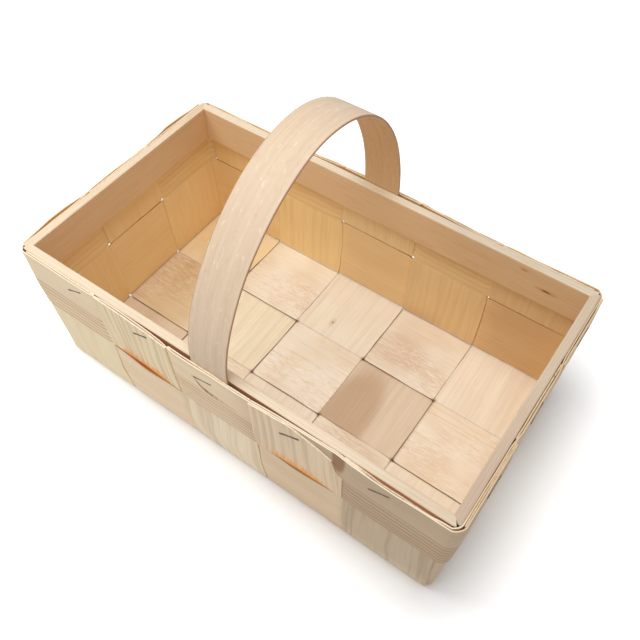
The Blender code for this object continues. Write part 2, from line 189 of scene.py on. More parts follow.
def with_seams(low, high, seams, step, reach):
    """Even places, with closer ones at every seam."""
    places = [run_of(low, high, step)]
    for seam in seams:
        close = seam + np.linspace(-1, 1, 15) * (reach + seam_shift)
        places.append(close[(close > low) & (close < high)])
    return np.unique(np.round(np.concatenate(places), 6))


def across_shares(width, step):
    """Places over a strip's width from -1/2 to 1/2, close together at both edges."""
    edge = np.array((0, 0.00012, 0.0004, 0.0010)) / width
    inner = run_of(-0.5 + edge[-1], 0.5 - edge[-1], step / width)[1:-1]
    return np.concatenate((-0.5 + edge, inner, 0.5 - edge[::-1]))


def edge_profile(shares, width):
    """Half thickness over the width: full, falling to 5/6 in the last 0.3 mm."""
    gap = (0.5 - np.abs(shares)) * width
    return splint_thickness / 2 * (0.83 + 0.17 * ease(gap / 0.0003))


def write_mesh(name, points, quads, grain, cut, through, smooth_angle=0.7):
    """Put points and quads into a mesh, with a UV map in metres and two attributes.

    The attribute cut tells the skins from the cut edges, and through carries painted light and
    shade: above 0 a painted glow of light through the thin wood, below 0 painted shade in
    cracks, seams and the holes at the nodes.
    """
    if signed_volume(points, quads) < 0:
        quads, grain, cut, through = (part[:, ::-1] for part in (quads, grain, cut, through))
    mesh = bpy.data.meshes.new(name)
    mesh.vertices.add(len(points))
    mesh.vertices.foreach_set("co", points.astype(np.float32).ravel())
    mesh.loops.add(quads.size)
    mesh.loops.foreach_set("vertex_index", quads.astype(np.int32).ravel())
    mesh.polygons.add(len(quads))
    mesh.polygons.foreach_set("loop_start", np.arange(0, quads.size, 4, dtype=np.int32))
    mesh.uv_layers.new(name="grain").data.foreach_set("uv", grain.astype(np.float32).ravel())
    for key, values in (("cut", cut), ("through", through)):
        mesh.attributes.new(key, "FLOAT", "CORNER").data.foreach_set(
            "value", values.astype(np.float32).ravel())
    mesh.update(calc_edges=True)
    mesh.validate(clean_customdata=False)
    mesh.set_sharp_from_angle(angle=smooth_angle)
    piece = bpy.data.objects.new(name, mesh)
    bpy.context.scene.collection.objects.link(piece)
    return piece


def signed_volume(points, quads):
    """Sum of the signed tetrahedra from the origin to both halves of each quad."""
    a, b, c, d = (points[quads[:, i]] for i in range(4))
    return float(np.sum(np.cross(a, b) * c) + np.sum(np.cross(a, c) * d))


def patches(grid):
    """Quads of a grid of point numbers, row by row."""
    return np.stack((grid[:-1, :-1], grid[:-1, 1:], grid[1:, 1:], grid[1:, :-1]), -1).reshape(-1, 4)


sides = {"front": ((0, -1, 0), (1, 0, 0), (0, 0, 1), 0.085),
         "right": ((1, 0, 0), (0, 1, 0), (0, 0, 1), 0.150),
         "floor": ((0, 0, -1), (1, 0, 0), (0, 1, 0), -0.010)}


def near_line(points, side, start, end, radius):
    """exp(-(d / radius)^2) on one side of the basket, d being the distance in its plane."""
    out, first, second, least = (np.array(part, float) for part in sides[side])
    flat = np.stack((points @ first, points @ second), -1)
    start, way = np.array(start), np.array(end) - np.array(start)
    share = np.clip(((flat - start) @ way) / (way @ way), 0, 1)
    apart = np.linalg.norm(flat - start - share[..., None] * way, axis=-1)
    return np.exp(-(apart / radius) ** 2) * (points @ out > least)


def glow_of(points, lines):
    """Sum of strength * near_line over the lines, each (side, start, end, radius, strength)."""
    return sum((strength * near_line(points, side, start, end, radius)
                for side, start, end, radius, strength in lines), np.zeros(points.shape[:-1]))


def ribbon(name, inner, outer, along, across, glow_inside=(), glow_outside=()):
    """A closed strip from two equal grids of points.

    The inner and outer skins are joined by the two long cut edges and the two end-grain
    ends. The UV map is (distance along the grain, distance across it); the attribute cut is
    0 on the inner skin, 1/4 on the outer skin, 1/2 on the long edges and 1 on the ends.
    """
    rows, columns = inner.shape[:2]
    number = np.arange(rows * columns).reshape(rows, columns)
    far = number + rows * columns
    bands = (
        (number, 0.0), (far[:, ::-1], 0.25),
        (np.stack((far[:, 0], number[:, 0]), 1), 0.5),
        (np.stack((number[:, -1], far[:, -1]), 1), 0.5),
        (np.stack((far[0], number[0])), 1.0),
        (np.stack((number[-1], far[-1])), 1.0),
    )
    quads = np.concatenate([patches(band) for band, _ in bands])
    cut = np.concatenate([np.full((patches(band).shape[0], 4), kind) for band, kind in bands])
    points = np.concatenate((inner.reshape(-1, 3), outer.reshape(-1, 3)))
    place = np.stack(np.broadcast_arrays(along, across), -1).reshape(-1, 2)
    place = np.concatenate((place, place))
    through = np.concatenate((glow_of(inner, glow_inside).ravel(),
                              glow_of(outer, glow_outside).ravel()))
    return write_mesh(name, points, quads, place[quads], cut, through[quads])


def loft(name, rings, along, around, cut_ends=1.0, smooth_angle=0.7):
    """A closed body from rings of points, with each end closed to a middle point.

    Rings are (rows, around, 3). The first and the last ring are closed by a fan of quads
    round the ring's own mean.
    """
    rows, count = rings.shape[:2]
    number = np.arange(rows * count).reshape(rows, count)
    number = np.concatenate((number, number[:, :1]), 1)
    side = patches(number)
    middles = np.stack((rings[0].mean(0), rings[-1].mean(0)))
    points = np.concatenate((rings.reshape(-1, 3), middles))
    v = np.concatenate((around, around[-1:] + (around[1] - around[0])))
    place = np.stack(np.broadcast_arrays(along[:, None], v[None, :]), -1)
    corners = np.stack((place[:-1, :-1], place[:-1, 1:], place[1:, 1:], place[1:, :-1]), 2)
    quads, grain = [side], [corners.reshape(-1, 4, 2)]
    cut = [np.zeros((len(side), 4))]
    steps = np.arange(0, count, 2)
    for row, tip, turn in ((0, rows * count, -1), (rows - 1, rows * count + 1, 1)):
        a, b, c = number[row, steps], number[row, steps + 1], number[row, (steps + 2)]
        fan = np.stack((np.full_like(a, tip), a, b, c), 1)[:, ::turn]
        quads.append(fan)
        grain.append(np.stack((np.full(fan.shape, along[row]), np.tile(v[steps][:, None], 4)), -1))
        cut.append(np.full(fan.shape, cut_ends))
    quads, grain, cut = (np.concatenate(part) for part in (quads, grain, cut))
    return write_mesh(name, points, quads, grain, cut, 0 * cut, smooth_angle)


def stake_layers(wall, number):
    """Layers of a stake in the lower and the upper row: 0 inside, 1 outside, 2 over a lap."""
    outside_below = number % 2 == 0 if is_long(wall) else number % 2 == 1
    lower, upper = (1, 0) if outside_below else (0, 1)
    if wall == FRONT and number == 3:
        upper = 2
    return lower, upper


def layer_level(layer, lapped=False):
    """Outward offset of a layer from the weave surface."""
    if lapped or layer == 2:
        return lap_levels[layer]
    return (-layer_step, layer_step)[layer]


def lower_swell(wall, layer):
    size = long_wall_pillow if is_long(wall) else short_wall_pillow
    return size * (1 - shared_pillow) if layer else -size * inside_pillow_share


def stake_level(wall, number, height):
    """Outward offset of a stake up its wall, and its swell: its lower and its upper cell."""
    lower, upper = stake_layers(wall, number)
    cells = ((weaver_bottom, row_seam - seam_gap / 2, layer_level(lower), lower_swell(wall, lower)),
             (row_seam + seam_gap / 2, strip_top, layer_level(upper, lap_zone(wall, number)), 0.0))
    return strip_level(height, cells, stake_reach), strip_swell(height, cells)


def lap_zone(wall, number):
    """Stakes where the upper hoop lies double."""
    return wall == FRONT and number >= 3 or wall == RIGHT and number == 0


def floor_cells(count, pitch, edge, parity, number, swell):
    """Cells of a splint along the floor: on top where its number plus the cell's has a parity."""
    cells = []
    for cell in range(count):
        middle = (cell - (count - 1) / 2) * pitch
        on_top = (number + cell) % 2 == parity
        low = max(middle - pitch / 2 + seam_gap / 2, -edge)
        high = min(middle + pitch / 2 - seam_gap / 2, edge)
        level = (layer_step if on_top else -layer_step) - floor_sink
        cells.append((low, high, level, swell if on_top else 0.0))
    return cells


def splint_surface(wall_low, wall_high, number, centre, width, floor, crossings, marks, seed):
    """Both skins of a whole splint: up one wall, across the floor and up the other.

    Each station turns by an angle from floor (0) to wall (90 degrees): its run is the wall's
    distance less r (1 - sin a) and its height is the bend's top less r cos a, and the skins
    stand off along the normal (-sin a, cos a) by the weave level and half the thickness.
    """
    heights = with_seams(bend_top, strip_top, (row_seam,), marks["step"], stake_reach)
    turns = np.linspace(0, np.pi / 2, 9)
    floor_low, floor_high = floor[0][0], floor[-1][1]
    flat = with_seams(floor_low, floor_high, seams_of(floor), marks["step"], floor_reach)
    flat_level = strip_level(flat, floor, floor_reach)
    parts = []
    for side, wall in ((-1, wall_low), (1, wall_high)):
        end = flat_level[0] if side < 0 else flat_level[-1]
        climb, bulge = (-part for part in stake_level(wall, number, heights))
        bend = end + (climb[0] - end) * ease(turns / (np.pi / 2))
        angle = np.concatenate((turns[:-1], np.full(len(heights), np.pi / 2)))
        height = np.concatenate((bend_top - bend_radius * np.cos(turns[:-1]), heights))
        inward = np.concatenate((bend[:-1], climb))
        swell = np.concatenate((0 * turns[:-1], bulge))
        part = [angle, height, inward, swell, np.full(len(angle), side), np.zeros(len(angle))]
        parts.append([row[::-1] for row in part] if side < 0 else part)
    parts.insert(1, [0 * flat, 0 * flat + bend_top - bend_radius, flat_level,
                     strip_swell(flat, floor), 0 * flat, flat])
    angle, height, inward, swell, side, run = (np.concatenate(rows)[:, None]
                                               for rows in zip(*parts))

    shares = across_shares(width, marks["step"] * 0.8)[None, :]
    walls = np.where(side < 0, wall_low, wall_high)
    place = centre + shares * width
    wall_run = np.where(side < 0, weave_distance(wall_low, place, np.maximum(height, bend_top)),
                        weave_distance(wall_high, place, np.maximum(height, bend_top)))
    run = np.where(side == 0, run, side * (wall_run - bend_radius * (1 - np.sin(angle))))
    middle_run, middle_height = run[:, run.shape[1] // 2], height[:, 0]
    grown = np.hypot(np.diff(middle_run), np.diff(middle_height))
    along = np.concatenate(((0,), np.cumsum(grown)))[:, None]

    pinch = np.zeros(along.shape)
    for kind, at, share in crossings:
        here = run if kind == 0 else height
        near = (side == 0) if kind == 0 else (side == kind)
        pinch = pinch + share * near * np.exp(-((here[:, :1] - at) / pinch_reach) ** 2)
    half = width / 2 - marks["pinch"] * pinch
    low_edge = -half - marks["keep_low"] * (width / 2 - half)
    low_edge = low_edge + drift(seed, along, 0.05, edge_wander)
    high_edge = half + marks["keep_high"] * (width / 2 - half)
    high_edge = high_edge + drift(seed + 1, along, 0.05, edge_wander)
    high_edge = high_edge - marks["side"](side, height)
    high_edge = high_edge + floor_lap * marks["keep_high"] * (side == 0)
    low_edge = low_edge - floor_lap * marks["keep_low"] * (side == 0)
    offset = low_edge + (shares + 0.5) * (high_edge - low_edge)
    across = centre + offset

    inward = inward + swell * crown(shares)
    inward = inward + drift(seed + 2, along + 3 * shares * width, 0.09, 0.00008)
    inward = inward + marks["shape"](side, height, shares, run)
    top = strip_top - slat_bottom
    trim = marks["trim"](side, shares)
    height = np.where(height > slat_bottom, slat_bottom + (height - slat_bottom) * (1 - trim / top),
                      height)
    skins = []
    thick = edge_profile(shares, width)
    for face in (1, -1):
        stand = inward + face * thick
        lean = -side * np.sin(angle)
        skin_run = run + lean * stand
        skin_height = np.maximum(height + np.cos(angle) * stand, 0.00002)
        skins.append((skin_run, skin_height))
    return across, skins, along, offset


def plain_marks(step):
    """A splint with nothing special about its shape."""
    return {"step": step, "pinch": 0.0005, "keep_low": 0.0, "keep_high": 0.0,
            "shape": lambda side, height, shares, run: 0.0 * height * shares,
            "trim": lambda side, shares: 0.0 * shares, "side": lambda side, height: 0.0 * height}


def end_trim(seed, width, depth):
    """Slightly wavy ends, a little lower than the longest fibre."""
    def trim(side, shares):
        line = drift(seed, shares * width, 0.03, depth) + depth
        other = drift(seed + 5, shares * width, 0.03, depth) + depth
        return np.clip(np.where(side < 0, line, other), 0, None)
    return trim


def chipped_trim(seed, width, depth):
    """The fourth front stake's top: wavy, and slanting down to its right corner."""
    plain = end_trim(seed, width, depth)

    def trim(side, shares):
        slope = 0.0108 * np.clip((shares + 0.06) / 0.56, 0, 1) ** 1.4
        return plain(side, shares) + np.where(side < 0, slope, 0.0)
    return trim


def corner_trim(seed, width, depth):
    """The last front stake's top: cut lower behind the hoop's lapped end."""
    plain = end_trim(seed, width, depth)

    def trim(side, shares):
        lower = inner_drop * ease((shares + 0.42) / 0.3)
        return plain(side, shares) + np.where(side < 0, lower, 0.0)
    return trim


def chipped_side(side, height):
    """How much wood is missing from the fourth stake's right edge, down to a splinter."""
    gone = ease((height - 0.1035) / 0.0015) * (0.0046 + 0.0020 * (height - 0.1045) / 0.0140)
    splinter = 0.0020 * hump((height - 0.1030) / 0.006)
    return np.where(side < 0, np.clip(gone - splinter, 0, None), 0.0)


def left_bow(side, height, shares, run):
    """The left stakes' free tops bow outwards: bow * sin^2 over the width * rise."""
    rise = np.clip((height - row_seam) / (strip_top - row_seam), 0, 1)
    return np.where(side < 0, -left_bow_height * hump(shares + 0.5) * rise, 0.0)


# Painted glow: orange colour and emission that stand for light through thin wood in shaded gaps;
# side, start, end, radius and strength of each line
glow_lines = {
    "cross_splint_b": (("front", (-0.099, 0.0655), (-0.043, 0.0660), 0.0034, 1.0),
                       ("front", (-0.084, 0.0690), (-0.053, 0.0690), 0.0092, 1.0)),
    "cross_splint_d": (("front", (0.040, 0.0655), (0.097, 0.0655), 0.0034, 1.0),
                       ("front", (0.056, 0.0690), (0.084, 0.0690), 0.0090, 1.0)),
    "lower_weaver": (("right", (-0.097, 0.0640), (-0.060, 0.0675), 0.0016, 0.6),),
    "upper_weaver": (("right", (-0.0955, 0.0697), (-0.050, 0.0715), 0.0013, 0.8),),
}
# Painted shade: small dark spots at the nodes of the floor, for the shade in the holes between the
# strips
node_hole_shade = tuple(("floor", (x, y), (x + 0.0006, y), 0.0014, -0.9)
                   for x in (-0.1035, -0.0345, 0.0345, 0.1035) for y in (-0.032, 0.032))


def seam_shade_lines(number, long_way):
    """Painted shade: dark lines where this splint comes up from under an edge that faces front or
    right, the shade under that edge.
    """
    lines = []
    if long_way:
        y = (number - 1) * long_pitch
        for cell in range(4):
            if (cell + number) % 2 == 0:
                x = (cell - 1.5) * cross_pitch + 0.0004
                lines.append(("floor", (x, y - 0.031), (x, y + 0.031), 0.0006, -0.70))
    else:
        x = (number - 2) * cross_pitch
        for cell in (1, 2):
            if (cell + number) % 2:
                y = (cell - 1.5) * long_pitch - 0.0004
                lines.append(("floor", (x - 0.034, y), (x + 0.034, y), 0.0006, -0.70))
    return tuple(lines)


def make_splint(letter_or_word, step):
    """One splint of the floor with its two stakes."""
    if letter_or_word in cross_letters:
        number = cross_letters.index(letter_or_word)
        name = "cross_splint_" + letter_or_word
        centre, width = (number - 2) * cross_pitch, cross_pitch - seam_gap
        floor = floor_cells(3, long_pitch, long_edge, 0, number, floor_swell)
        walls, long_way, last = (FRONT, BACK), False, 4
    else:
        number = long_words.index(letter_or_word)
        name = "long_splint_" + letter_or_word
        centre, width = (number - 1) * long_pitch, long_pitch - seam_gap
        floor = floor_cells(5, cross_pitch, cross_edge, 1, number, floor_swell)
        walls, long_way, last = (LEFT, RIGHT), True, 2
    seed = 40 + 7 * number + 100 * long_way
    marks = plain_marks(step)
    marks["keep_low"] = 1.0 if number == 0 else 0.0
    marks["keep_high"] = 1.0 if number == last else 0.0
    trims = {"cross_splint_d": chipped_trim, "cross_splint_e": corner_trim}
    marks["trim"] = trims.get(name, end_trim)(seed, width, 0.0002)
    if long_way and number != 1:
        marks["shape"] = left_bow
    if name == "cross_splint_d":
        marks["side"] = chipped_side
    seams = seams_of(floor)
    far, near = (-1, 1) if long_way else (1, -1)
    crossings = [(0, seam, 0.6) for seam in seams] + [(far, row_seam, 2.6), (near, row_seam, 0.5)]
    crossings += [(far, bend_top, 2.0), (near, bend_top, 0.5)]
    across, skins, along, offset = splint_surface(*walls, number, centre, width, floor, crossings,
                                                  marks, seed)
    grids = []
    for run, height in skins:
        across_full, run, height = np.broadcast_arrays(across, run, height)
        order = (run, across_full, height) if long_way else (across_full, run, height)
        grids.append(np.stack(order, -1))
    lines = node_hole_shade + seam_shade_lines(number, long_way)
    return ribbon(name + "_wood", *grids, along, offset, lines, glow_lines.get(name, ())), name


def wall_stakes(wall):
    """Stakes of a wall in the order the hoops pass them: number, low and high place."""
    count, pitch = (5, cross_pitch) if is_long(wall) else (3, long_pitch)
    edge = cross_edge if is_long(wall) else long_edge
    sign = 1 if wall in (FRONT, RIGHT) else -1
    stakes = []
    for number in list(range(count))[::sign]:
        middle = sign * (number - (count - 1) / 2) * pitch
        low, high = middle - (pitch - seam_gap) / 2, middle + (pitch - seam_gap) / 2
        stakes.append((number, max(low, -edge), min(high, edge)))
    return stakes


def hoop_visits(row):
    """Every stake a hoop passes: wall, low, high, level and swell."""
    visits = []
    for wall in (FRONT, RIGHT, BACK, LEFT):
        for number, low, high in wall_stakes(wall):
            layer = 1 - min(stake_layers(wall, number)[row], 1)
            lapped = bool(row) and lap_zone(wall, number)
            swell = 0.0 if row else lower_swell(wall, layer)
            visits.append([wall, low, high, layer_level(layer, lapped), swell])
    return visits


def lapped(visits, start, under, levels):
    """Visits of a hoop from one stake all the way round and over its own beginning."""
    again = [list(visit) for visit in visits[start:start + len(levels)]]
    visits[start][3] = under
    for visit, level in zip(again, levels):
        visit[3] = level
    again[-1][2] -= splice_end_inset
    return visits[start:] + visits[:start] + again


def corner_radius(height):
    """Bend radius at a corner: tight at the floor and round the slats' corner at the rim."""
    at_floor, at_rim = 0.00305, slat_corner_radius + tight_standoff + weave_clearance
    return at_floor + (at_rim - at_floor) * np.minimum(height / slat_bottom, 1)


def hoop_stretch(wall, along, height, out):
    """Straight stretch: the wall's point at its weave distance + offset."""
    place = along if wall in (FRONT, RIGHT) else -along
    return wall_point(wall, weave_distance(wall, place, height) + out, along, height)


def hoop_corner(wall, share, height, out):
    """Quarter circle after a wall: centre + (normal cos a + next normal sin a) (r + offset)."""
    following = (wall + 1) % 4
    end = cross_edge if is_long(wall) else long_edge
    start = long_edge if is_long(wall) else cross_edge
    radius = corner_radius(height)
    turn = share * np.pi / 2
    centre = wall_out[wall] * (weave_distance(wall, end, height) - radius)[..., None]
    centre = centre + wall_out[following] * (weave_distance(following, start, height)
                                             - radius)[..., None]
    arm = wall_out[wall] * np.cos(turn)[..., None] + wall_out[following] * np.sin(turn)[..., None]
    return centre + arm * (radius + out)[..., None] + upward * height[..., None]


def split_line(place):
    """Height of the split under the third front staple: height + drop * exp(-way / fall)."""
    return split_height + split_drop * np.exp(-np.maximum(place - split_from, 0) / split_fall)


def split_shares(even, along, low, high):
    """Places over the hoop's width, drawn so that two of them run along the split."""
    column = int(np.argmin(np.abs(low + (even[0] + 0.5) * (high - low) - split_height)))
    at = even[0, column]
    target = (split_line(along) - low) / (high - low) - 0.5
    lower = -0.5 + (even + 0.5) * (target + 0.5) / (at + 0.5)
    upper = target + (even - at) * (0.5 - target) / (0.5 - at)
    shares = np.where(even <= at, lower, upper)
    shares[:, column + 1] = shares[:, column] + 0.00015 / (high - low)
    return shares


def split_lips(wall, along, shares, low, high):
    """The wood under the split stands out: lift * sin^2 along it, fading in 7 mm downwards."""
    below = split_line(along) - (low + (shares + 0.5) * (high - low))
    rise = np.where(below > -0.00005, np.exp(-np.abs(below) / 0.007), 0.0)
    way = (along - split_from) / (split_to - split_from)
    return split_lift * hump(way) * rise * (wall == FRONT)


def make_hoop(name, visits, low, high, step, pinch_low, pinch_high, shape, seed):
    """One woven hoop: straight stretches and corners along it, its height across it."""
    row_of_split = high > row_seam + cross_pitch / 2
    reach = hoop_reaches[int(row_of_split)]
    width = high - low
    even = across_shares(width, step * 0.8)[None, :]
    stretches = []
    group = [visits[0]]
    for visit in visits[1:] + [None]:
        if visit is not None and visit[0] == group[-1][0] and visit[1] > group[-1][1]:
            group.append(visit)
            continue
        stretches.append(group)
        group = [visit]
    rows = []
    travelled = 0.0
    for index, cells in enumerate(stretches):
        wall = cells[0][0]
        places = [cell[1:] for cell in cells]
        seams = seams_of(places)
        along = with_seams(places[0][0], places[-1][1], seams, step, reach)
        out = strip_level(along, places, reach)
        bulge = strip_swell(along, places)
        near = sum((np.exp(-((along - seam) / pinch_reach) ** 2) for seam in seams), 0 * along)
        near = near * (2.0 if wall in (BACK, LEFT) else 0.5)
        rows.append((hoop_stretch, wall, along, out, bulge, travelled + along - along[0], near))
        travelled += along[-1] - along[0]
        if index + 1 < len(stretches):
            share = np.linspace(0, 1, 15)[1:-1]
            after = stretches[index + 1][0][3]
            late = ease(share) ** 3 if after > out[-1] else 1 - ease(1 - share) ** 3
            turn_out = out[-1] + (after - out[-1]) * late
            if row_of_split:
                hug = hug_levels[int(index > 3)]
                turn_out = turn_out + (hug - turn_out) * hump(share) * (turn_out > hug)
            rows.append((hoop_corner, wall, share, turn_out, 0 * share,
                         travelled + share * corner_length, 0 * share))
            travelled += corner_length
    inner, outer, lengths, offsets = [], [], [], []
    for maker, wall, along, out, bulge, length, near in rows:
        along, out, bulge, length, near = (line[:, None]
                                           for line in (along, out, bulge, length, near))
        shares = even + 0 * along
        if row_of_split and maker is hoop_stretch and wall == FRONT and along.min() < -cross_pitch:
            shares = split_shares(even, along, low, high)
        thick = edge_profile(shares, width)
        bottom = low + drift(seed, length, 0.06, hoop_edge_wander) + pinch_low * near
        top = high + drift(seed + 1, length, 0.06, hoop_edge_wander) - pinch_high * near
        if row_of_split:
            top = top - inner_drop * ease((length - drop_from) / drop_soft) * ease(
                (drop_to - length) / drop_soft)
        height = bottom + (shares + 0.5) * (top - bottom)
        height, along, out = np.broadcast_arrays(height, along, out)
        out = out + bulge * crown(shares)
        out = out + drift(seed + 2, length + 2 * shares * width, 0.08, 0.00010)
        if maker is hoop_stretch:
            out = out + shape(wall, along, shares)
        inner.append(maker(wall, along, height, out - thick))
        outer.append(maker(wall, along, height, out + thick))
        lengths.append(np.broadcast_to(length, height.shape))
        offsets.append(shares * width)
    inner, outer, lengths, offsets = (np.concatenate(part)
                                      for part in (inner, outer, lengths, offsets))
    glow = glow_lines[name]
    if row_of_split:
        # Painted shade along the split: dark lines that grow fainter along it
        crack = np.linspace(split_from, split_to, 25)
        path = np.stack((crack, split_line(crack) + 0.0001), 1)
        painted_shade_fade = np.linspace(-0.85, -0.1, 24)
        glow += tuple(("front", a, b, 0.00042, f) for a, b, f in zip(path, path[1:], painted_shade_fade))
    return ribbon(name + "_wood", inner, outer, lengths, offsets, (), glow)


def lower_hoop_shape(wall, along, shares):
    """Lips at the top edge of the hoop before the second and the fourth front stake."""
    lip = np.clip(shares + 0.5, 0, 1) ** 4
    out = 0.0 * along
    if wall == FRONT:
        for middle in (-cross_pitch, cross_pitch):
            out = out + 0.0019 * hump((along - middle) / cross_pitch + 0.5) * lip
    return out


def upper_hoop_shape(wall, along, shares):
    """The wood under the split stands out, and so does the lapped end's rim."""
    out = split_lips(wall, along, shares, row_seam + seam_gap / 2, strip_top)
    if wall == FRONT:
        rim = np.clip(shares + 0.5, 0, 1) ** 2
        out = out + 0.0006 * hump((along - 1.55 * cross_pitch) / (0.8 * cross_pitch)) * rim
    return out


def slat_reach(depth, half_outer):
    """Half length of a slat at a depth behind its outer face: rounded corner, then mitre."""
    corner = half_outer - slat_corner_radius - mitre_gap
    arc = np.sqrt(np.clip(slat_corner_radius ** 2 - (slat_corner_radius - depth) ** 2, 0, None))
    straight = half_outer - mitre_gap - depth
    return np.where(depth < slat_corner_radius * 0.2929, corner + arc, straight)


def make_slat(wall, step):
    """One rim slat: a rounded rectangle carried along the wall between two mitres.

    A point at share t of the length stands at t * reach(depth), so the end rings lie in the
    mitre planes. The edges have a 0.7 mm radius, and the faces lie up to 0.1 mm deeper.
    """
    half_outer = slat_outer_x if is_long(wall) else slat_outer_y
    distance = slat_outer_y if is_long(wall) else slat_outer_x
    radius = 0.0007
    half_t, half_h = slat_thickness / 2, slat_height / 2
    corners = []
    for centre_x, centre_z, start in ((1, 1, 0), (-1, 1, 1), (-1, -1, 2), (1, -1, 3)):
        turn = (start + np.linspace(0, 1, 5)) * np.pi / 2
        corners.append(np.stack((centre_x * (half_t - radius) + radius * np.cos(turn),
                                 centre_z * (half_h - radius) + radius * np.sin(turn)), 1))
    ring = []
    for here, after in zip(corners, corners[1:] + corners[:1]):
        gap = after[0] - here[-1]
        inner = np.linspace(0, 1, max(int(np.hypot(*gap) / 0.0013), 2) + 1)[1:-1, None]
        ring += [here, here[-1] + inner * gap]
    ring = np.concatenate(ring)
    if len(ring) % 2:
        ring = np.delete(ring, len(ring) // 2, 0)
    around = np.concatenate(((0,), np.cumsum(np.hypot(*np.diff(ring, axis=0).T))))
    depth = half_t - ring[:, 0]
    height = slat_bottom + half_h + ring[:, 1]
    shares = np.concatenate(((-1, -0.9985), run_of(-0.996, 0.996, step / half_outer),
                             (0.9985, 1)))
    along = shares[:, None] * slat_reach(depth, half_outer)[None, :]
    seed = 300 + 10 * wall
    wobble = drift(seed, along + 4 * around[None, :], 0.05, 0.00005)
    wobble = np.clip(wobble, -0.0001, 0.0)
    scale = 1 + wobble / half_t
    deep = half_t - (half_t - depth)[None, :] * scale
    tall = slat_bottom + half_h + (height - slat_bottom - half_h)[None, :] * (1 + wobble / half_h)
    rings = (wall_out[wall] * (distance - deep)[..., None]
             + wall_out[(wall + 1) % 4] * along[..., None]
             + np.array((0, 0, 1.0)) * np.broadcast_to(tall, along.shape)[..., None])
    return loft("rim_slat_" + wall_words[wall] + "_wood", rings, shares * half_outer, around)


def cubic(points, share):
    """Cubic curve: sum of four points times their Bernstein weights."""
    s = share[:, None]
    weights = (1 - s) ** 3, 3 * (1 - s) ** 2 * s, 3 * (1 - s) * s * s, s ** 3
    return sum(weight * np.array(point) for weight, point in zip(weights, points))


def handle_line():
    """Middle line of the handle in (y, z): straight feet, then a cubic to the crown each side."""
    crown = (handle_lean, handle_height - handle_thickness / 2)
    halves = []
    for side, leg, reach in handle_reaches:
        rim = (side * foot_distance, rim_height)
        foot = np.stack((np.full(12, side * foot_distance),
                         np.linspace(foot_bottom, rim_height, 13)[:-1]), 1)
        curve = cubic((rim, (rim[0], rim[1] + leg), (crown[0] + side * reach, crown[1]), crown),
                      np.linspace(0, 1, 90))
        halves.append(np.concatenate((foot, curve)))
    return np.concatenate((halves[0][:-1], halves[1][::-1]))


def make_handle():
    """The bent strip: a flat rounded section carried square to its middle line."""
    line = handle_line()
    tangent = np.gradient(line, axis=0)
    tangent /= np.linalg.norm(tangent, axis=1)[:, None]
    normal = np.stack((-tangent[:, 1], tangent[:, 0]), 1)
    along = np.concatenate(((0,), np.cumsum(np.linalg.norm(np.diff(line, axis=0), axis=1))))
    half_w, half_t, radius = handle_width / 2, handle_thickness / 2, 0.0007
    turn = np.linspace(0, np.pi / 2, 5)
    arc = np.stack((half_w - radius + radius * np.cos(turn),
                    half_t - radius + radius * np.sin(turn)), 1)
    top = np.stack((np.linspace(half_w - radius, -half_w + radius, 23)[1:-1],
                    np.full(21, half_t)), 1)
    quarter = np.concatenate((arc, top, arc[::-1] * (-1, 1)))
    ring = np.concatenate((quarter, -quarter))
    around = np.concatenate(((0,), np.cumsum(np.hypot(*np.diff(ring, axis=0).T))))
    wide = 1 + drift(611, along, 0.08, 0.006)[:, None] - 0.012
    x = ring[None, :, 0] * wide + drift(612, along, 0.3, 0.0003)[:, None]
    x = np.clip(x, -half_w, half_w)
    cup = 1 - 0.10 * (ring[None, :, 0] / half_w) ** 2
    deep = ring[None, :, 1] * cup
    rings = np.stack((x, line[:, None, 0] + normal[:, None, 0] * deep,
                      line[:, None, 1] + normal[:, None, 1] * deep), -1)
    return loft("handle_wood", rings, along, around)


staple_rows = {
    "long": ((0.20, 0.12, -0.075, -0.07, -0.13), (0.70, 0.70, 0.60, 0.60, 0.66),
             (25.0, 26.0, 15.0, 24.0, 28.0), cross_width),
    "short": ((0.06, -0.05, 0.08), (0.62, 0.68, 0.60), (22.0, 27.0, 18.0), long_width),
}


